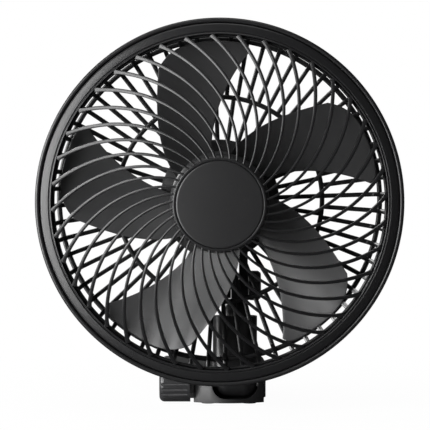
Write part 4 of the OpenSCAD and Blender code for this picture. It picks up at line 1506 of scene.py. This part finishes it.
@dataclass(frozen=True)
class Motor(SubAssembly):
    """The motor's fixed half, its housing and its screws; sizes in millimetres."""

    housing_depth: float = 64.0
    screw_count: int = 4
    screw_circle: float = 33.3
    screw_start: float = 45.0
    screw_sink: float = 12.0
    mount_front: float = -37.2

    def build(self) -> None:
        """Builds the housing and the screws sunk into it."""
        self.ease("motor_housing", Finish.housing_black, 0.3)
        self.ease("motor_mount", Finish.housing_black, 0.2)
        seat = -self.housing_depth + self.screw_sink
        screws = Screw(shank_r=1.3, length=self.mount_front - seat, head_r=2.6, head_t=2.0)
        self.keep(screws.on_circle("housing_screws_made", self.screw_count, self.screw_circle,
                                   self.screw_start, seat),
                  Finish.fastener_steel, "housing_screws")

    def dress(self) -> None:
        """Dresses the parts inside the housing."""
        self.wear(Finish.core_steel, "stator_core")
        self.wear(Finish.coil_copper, "stator_coils")
        self.wear(Finish.bearing_steel, "motor_bearings")
        self.wear(Finish.board_green, "motor_board")


@dataclass(frozen=True)
class TiltHinge(SubAssembly):
    """The yoke behind the head and its clamping knob; sizes in millimetres."""

    plate_back: float = -67.0
    screw_ys: tuple[float, float] = (-15.0, 5.0)

    def build(self) -> None:
        """Builds the yoke, its screws and the knob."""
        self.ease("head_bracket", Finish.housing_black, 0.45)
        places = [(NECK_X, y, self.plate_back) for y in self.screw_ys]
        screws = Screw(shank_r=1.25, length=5.2, head_r=3.0, head_t=1.8)
        self.keep(screws.at_places("bracket_screws_made", places, on_axis()),
                  Finish.fastener_steel, "bracket_screws")
        self.ease("tilt_nut", Finish.fastener_steel, 0.2)
        self.ease("tilt_washers", Finish.fastener_steel, 0.1)
        self.ease("tilt_knob", Finish.knob_black, 0.25, Body.TILT_KNOB)

    def dress(self) -> None:
        """Dresses the bolt."""
        self.wear(Finish.fastener_steel, "tilt_bolt")


@dataclass(frozen=True)
class Swivel(SubAssembly):
    """The domed swivel that carries the head."""

    body = Body.SWIVEL

    def build(self) -> None:
        """Builds the swivel's dome and ear."""
        self.ease("swivel_head", Finish.neck_black, 0.35)

    def dress(self) -> None:
        """Dresses the clip inside the neck."""
        self.wear(Finish.fastener_steel, "swivel_clip")


@dataclass(frozen=True)
class Neck(SubAssembly):
    """The flat neck with its service cover; sizes in millimetres."""

    body = Body.NECK
    depth: float = 62.0
    top: float = 55.2
    thickness: float = 16.0
    screw_x: float = 7.0
    screw_z: float = -12.0
    screw_sink: float = 1.0

    def build(self) -> None:
        """Builds the neck, its cover and the cover's screws."""
        self.ease("neck_shell", Finish.neck_black, 0.6)
        self.ease("neck_cover", Finish.neck_black, 0.3)
        back = RING_Y + self.depth + self.thickness / 2 - self.screw_sink
        screws = Screw(shank_r=1.05, length=6.0, head_r=1.85, head_t=0.8).at_places(
            "neck_screws_made", [(-self.screw_x, 0, 0), (self.screw_x, 0, 0)],
            facing_forward(NECK_X, back, self.top + self.screw_z))
        self.keep(screws, Finish.fastener_steel, "neck_screws")


@dataclass(frozen=True)
class FoldHinge(SubAssembly):
    """The ribbed clamping knob at the foot of the neck."""

    body = Body.FOLD_KNOB

    def build(self) -> None:
        """Builds the knob, its cap and the hinge hardware."""
        self.ease("fold_knob", Finish.knob_black, 0.25, angle=30.0)
        self.ease("fold_knob_cap", Finish.cap_black, 0.3)
        self.ease("fold_nut", Finish.fastener_steel, 0.2, Body.FOOT)
        self.ease("fold_washers", Finish.fastener_steel, 0.15, Body.FOOT)

    def dress(self) -> None:
        """Dresses the bolt."""
        self.wear(Finish.fastener_steel, "fold_bolt")


@dataclass(frozen=True)
class Foot(SubAssembly):
    """The battery foot with its button, lamps, socket and pads; sizes in millimetres."""

    body = Body.FOOT
    panel_depth: float = 128.0
    button_x: float = 12.0
    button_r: float = 5.5
    button_top: float = 23.2
    button_low: float = 17.65
    button_flange: tuple[float, float] = (18.6, 19.8)
    screw_xs: tuple[float, float] = (-32.3, 23.7)
    screw_depths: tuple[float, float] = (81.3, 133.7)
    screw_z: float = 1.6

    def button(self) -> bpy.types.Object:
        """Turns the dished power button, with the flange that holds it under the panel."""
        r, top, low = self.button_r, self.button_top, self.button_low
        flange_low, flange_top = self.button_flange
        dish = [(r - 0.5, top - 0.02), (r - 1.2, top - 0.1), (3.2, top - 0.42),
                (2.0, top - 0.52), (0.0, top - 0.58)]
        outline = [(0.0, low), (r, low), (r, flange_low), (r + 1, flange_low),
                   (r + 1, flange_top), (r, flange_top), (r, top - 0.4),
                   (r - 0.12, top - 0.12), *dish]
        place = Matrix.Translation((self.button_x * MM, (RING_Y + self.panel_depth) * MM, 0))
        return lathe("power_button_turned", outline, Finish.button_grey, 64, frame_at=place)

    def build(self) -> None:
        """Builds the foot's pieces."""
        self.ease("foot_shell", Finish.foot_black, 0.5)
        self.ease("foot_cover", Finish.foot_black, 0.25)
        self.keep(self.button(), Finish.button_grey, "power_button", body=Body.BUTTON)
        self.ease("charge_port", Finish.port_steel, 0.06)
        self.ease("indicator_lenses", Finish.lens_white, 0.2)
        self.ease("rubber_pads", Finish.pad_rubber, 0.35)
        places = [(x, y, self.screw_z) for x in self.screw_xs for y in self.screw_depths]
        screws = Screw(shank_r=1.05, length=9.0, head_r=2.2, head_t=0.8).at_places(
            "foot_screws_made", places, Matrix.Translation((0, RING_Y * MM, 0)))
        self.keep(screws, Finish.fastener_steel, "foot_screws")

    def dress(self) -> None:
        """Dresses what lies inside the foot."""
        self.wear(Finish.ballast_steel, "ballast_plate")
        self.wear(Finish.battery_wrap, "battery_pack")
        self.wear(Finish.board_green, "circuit_board")
        self.wear(Finish.switch_black, "board_switch")


# Studio ------------------------------------------------------------------------

WHITE = (1.0, 1.0, 1.0, 1.0)


@dataclass(frozen=True)
class Softbox:
    """A rectangular lamp that looks at a point; places in metres, power in watts."""

    name: str
    place: Point3
    aim: Point3
    width: float
    height: float
    power: float

    def build(self) -> bpy.types.Object:
        """Builds the lamp."""
        light = bpy.data.lights.new(self.name, "AREA")
        light.shape, light.size, light.size_y = "RECTANGLE", self.width, self.height
        light.energy = self.power
        lamp = in_scene(self.name, light)
        lamp.location = self.place
        towards = Vector(self.aim) - Vector(self.place)
        lamp.rotation_euler = towards.to_track_quat("-Z", "Y").to_euler()
        return lamp


@dataclass(frozen=True)
class Studio:
    """A pale tabletop that melts into white, lit mostly from the left; lengths in metres.

    The world is white to the camera. As light it is dimmer: fill is its strength on matt
    surfaces and mirrored its strength in reflections.
    """

    eye: Point3 = (-0.0029, -2.059, 0.2359)
    pitch: float = 3.218
    lens: float = 269.8
    sensor: float = 36.0
    sight: tuple[float, float] = (0.05, 40.0)
    floor_r: float = 6.0
    floor_tone: Colour = (0.9, 0.9, 0.9)
    floor_roughness: float = 0.9
    floor_gloss: float = 0.1
    # The floor glows more from the first distance to the second, from one share to the other.
    shadow_reach: tuple[float, float] = (0.08, 0.3)
    glow_shares: tuple[float, float] = (0.97, 1.0)
    fill: float = 0.02
    mirrored: float = 0.03
    lamps: tuple[Softbox, ...] = (
        Softbox("key_left", (-0.80, -1.2, 0.25), (0.0, -0.05, 0.25), 0.42, 1.4, 19.0),
        Softbox("side_left", (-1.35, -0.62, 0.18), (0.0, -0.05, 0.13), 1.0, 1.1, 38.0),
        Softbox("overhead", (-0.1, -0.45, 1.4), (0.0, -0.05, 0.05), 1.1, 0.8, 6.0),
        Softbox("back_left", (-0.8, 1.2, 0.7), (0.0, 0.05, 0.12), 1.2, 0.8, 16.0),
    )

    def camera(self) -> None:
        """Places the camera in front of the fan, just below the height of its top."""
        data = bpy.data.cameras.new("camera")
        data.sensor_width, data.lens = self.sensor, self.lens
        data.clip_start, data.clip_end = self.sight
        eye = in_scene("camera", data)
        eye.location = self.eye
        eye.rotation_euler = (math.radians(90 - self.pitch), 0.0, 0.0)
        bpy.context.scene.camera = eye

    def world(self) -> None:
        """Makes the surroundings white to the camera and dimmer as light."""
        world = bpy.data.worlds.new("studio")
        world.use_nodes = True
        g = Graph(world.node_tree)
        back = next(n for n in world.node_tree.nodes if n.type == "BACKGROUND")
        ray = g.add("ShaderNodeLightPath").outputs
        seen = g.math("ADD", ray["Is Camera Ray"], ray["Is Transmission Ray"], clamp=True)
        glossy = Num(g, ray["Is Glossy Ray"])
        other = ((1.0 - glossy) * self.fill).at_least(glossy * self.mirrored)
        g.put(back.inputs["Strength"], seen.at_least(other))
        g.put(back.inputs["Color"], WHITE)
        bpy.context.scene.world = world

    def floor(self) -> None:
        """Makes the floor: pale, with the shadow kept near the part."""
        s = Surface("tabletop")
        s.give({"Base Color": rgba(self.floor_tone), "Roughness": self.floor_roughness,
                "Specular IOR Level": self.floor_gloss})
        x, y, _ = s.parts(s.object_place())
        away = (x ** 2.0 + y ** 2.0) ** 0.5
        glow = s.output("ShaderNodeEmission", {"Color": WHITE, "Strength": 1.0})
        ray = s.add("ShaderNodeLightPath").outputs
        share = s.ramp(away, *self.shadow_reach, *self.glow_shares) * ray["Is Camera Ray"]
        mixed = s.output("ShaderNodeMixShader", {0: share, 1: s.shader.outputs[0], 2: glow})
        # Reflections and shadow rays pass the floor and meet the white world.
        passes = s.math("ADD", ray["Is Glossy Ray"], ray["Is Shadow Ray"], clamp=True)
        through = s.output("ShaderNodeMixShader", {
            0: passes, 1: mixed, 2: s.output("ShaderNodeBsdfTransparent")})
        sink = next(n for n in s.tree.nodes if n.type == "OUTPUT_MATERIAL")
        s.put(sink.inputs["Surface"], through)
        mesh = bpy.data.meshes.new("tabletop")
        with editing(mesh) as bm:
            bmesh.ops.create_circle(bm, cap_ends=True, segments=96, radius=self.floor_r)
        mesh.materials.append(s.material)
        table = in_scene("tabletop", mesh)

    def build(self) -> None:
        """Builds the studio."""
        self.camera()
        self.world()
        self.floor()
        for lamp in self.lamps:
            lamp.build()
        bpy.context.scene.view_settings.view_transform = "Standard"


def main() -> None:
    """Builds the fan, dresses it and sets the studio."""
    logging.basicConfig(level=logging.INFO, format="%(name)s: %(message)s")
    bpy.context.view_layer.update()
    for part in (Guard(), Impeller(), Motor(), TiltHinge(), Swivel(), Neck(), FoldHinge(), Foot()):
        LOG.info("building %s", type(part).__name__)
        part.build()
        part.dress()
    Studio().build()


if __name__ == "__main__":
    main()
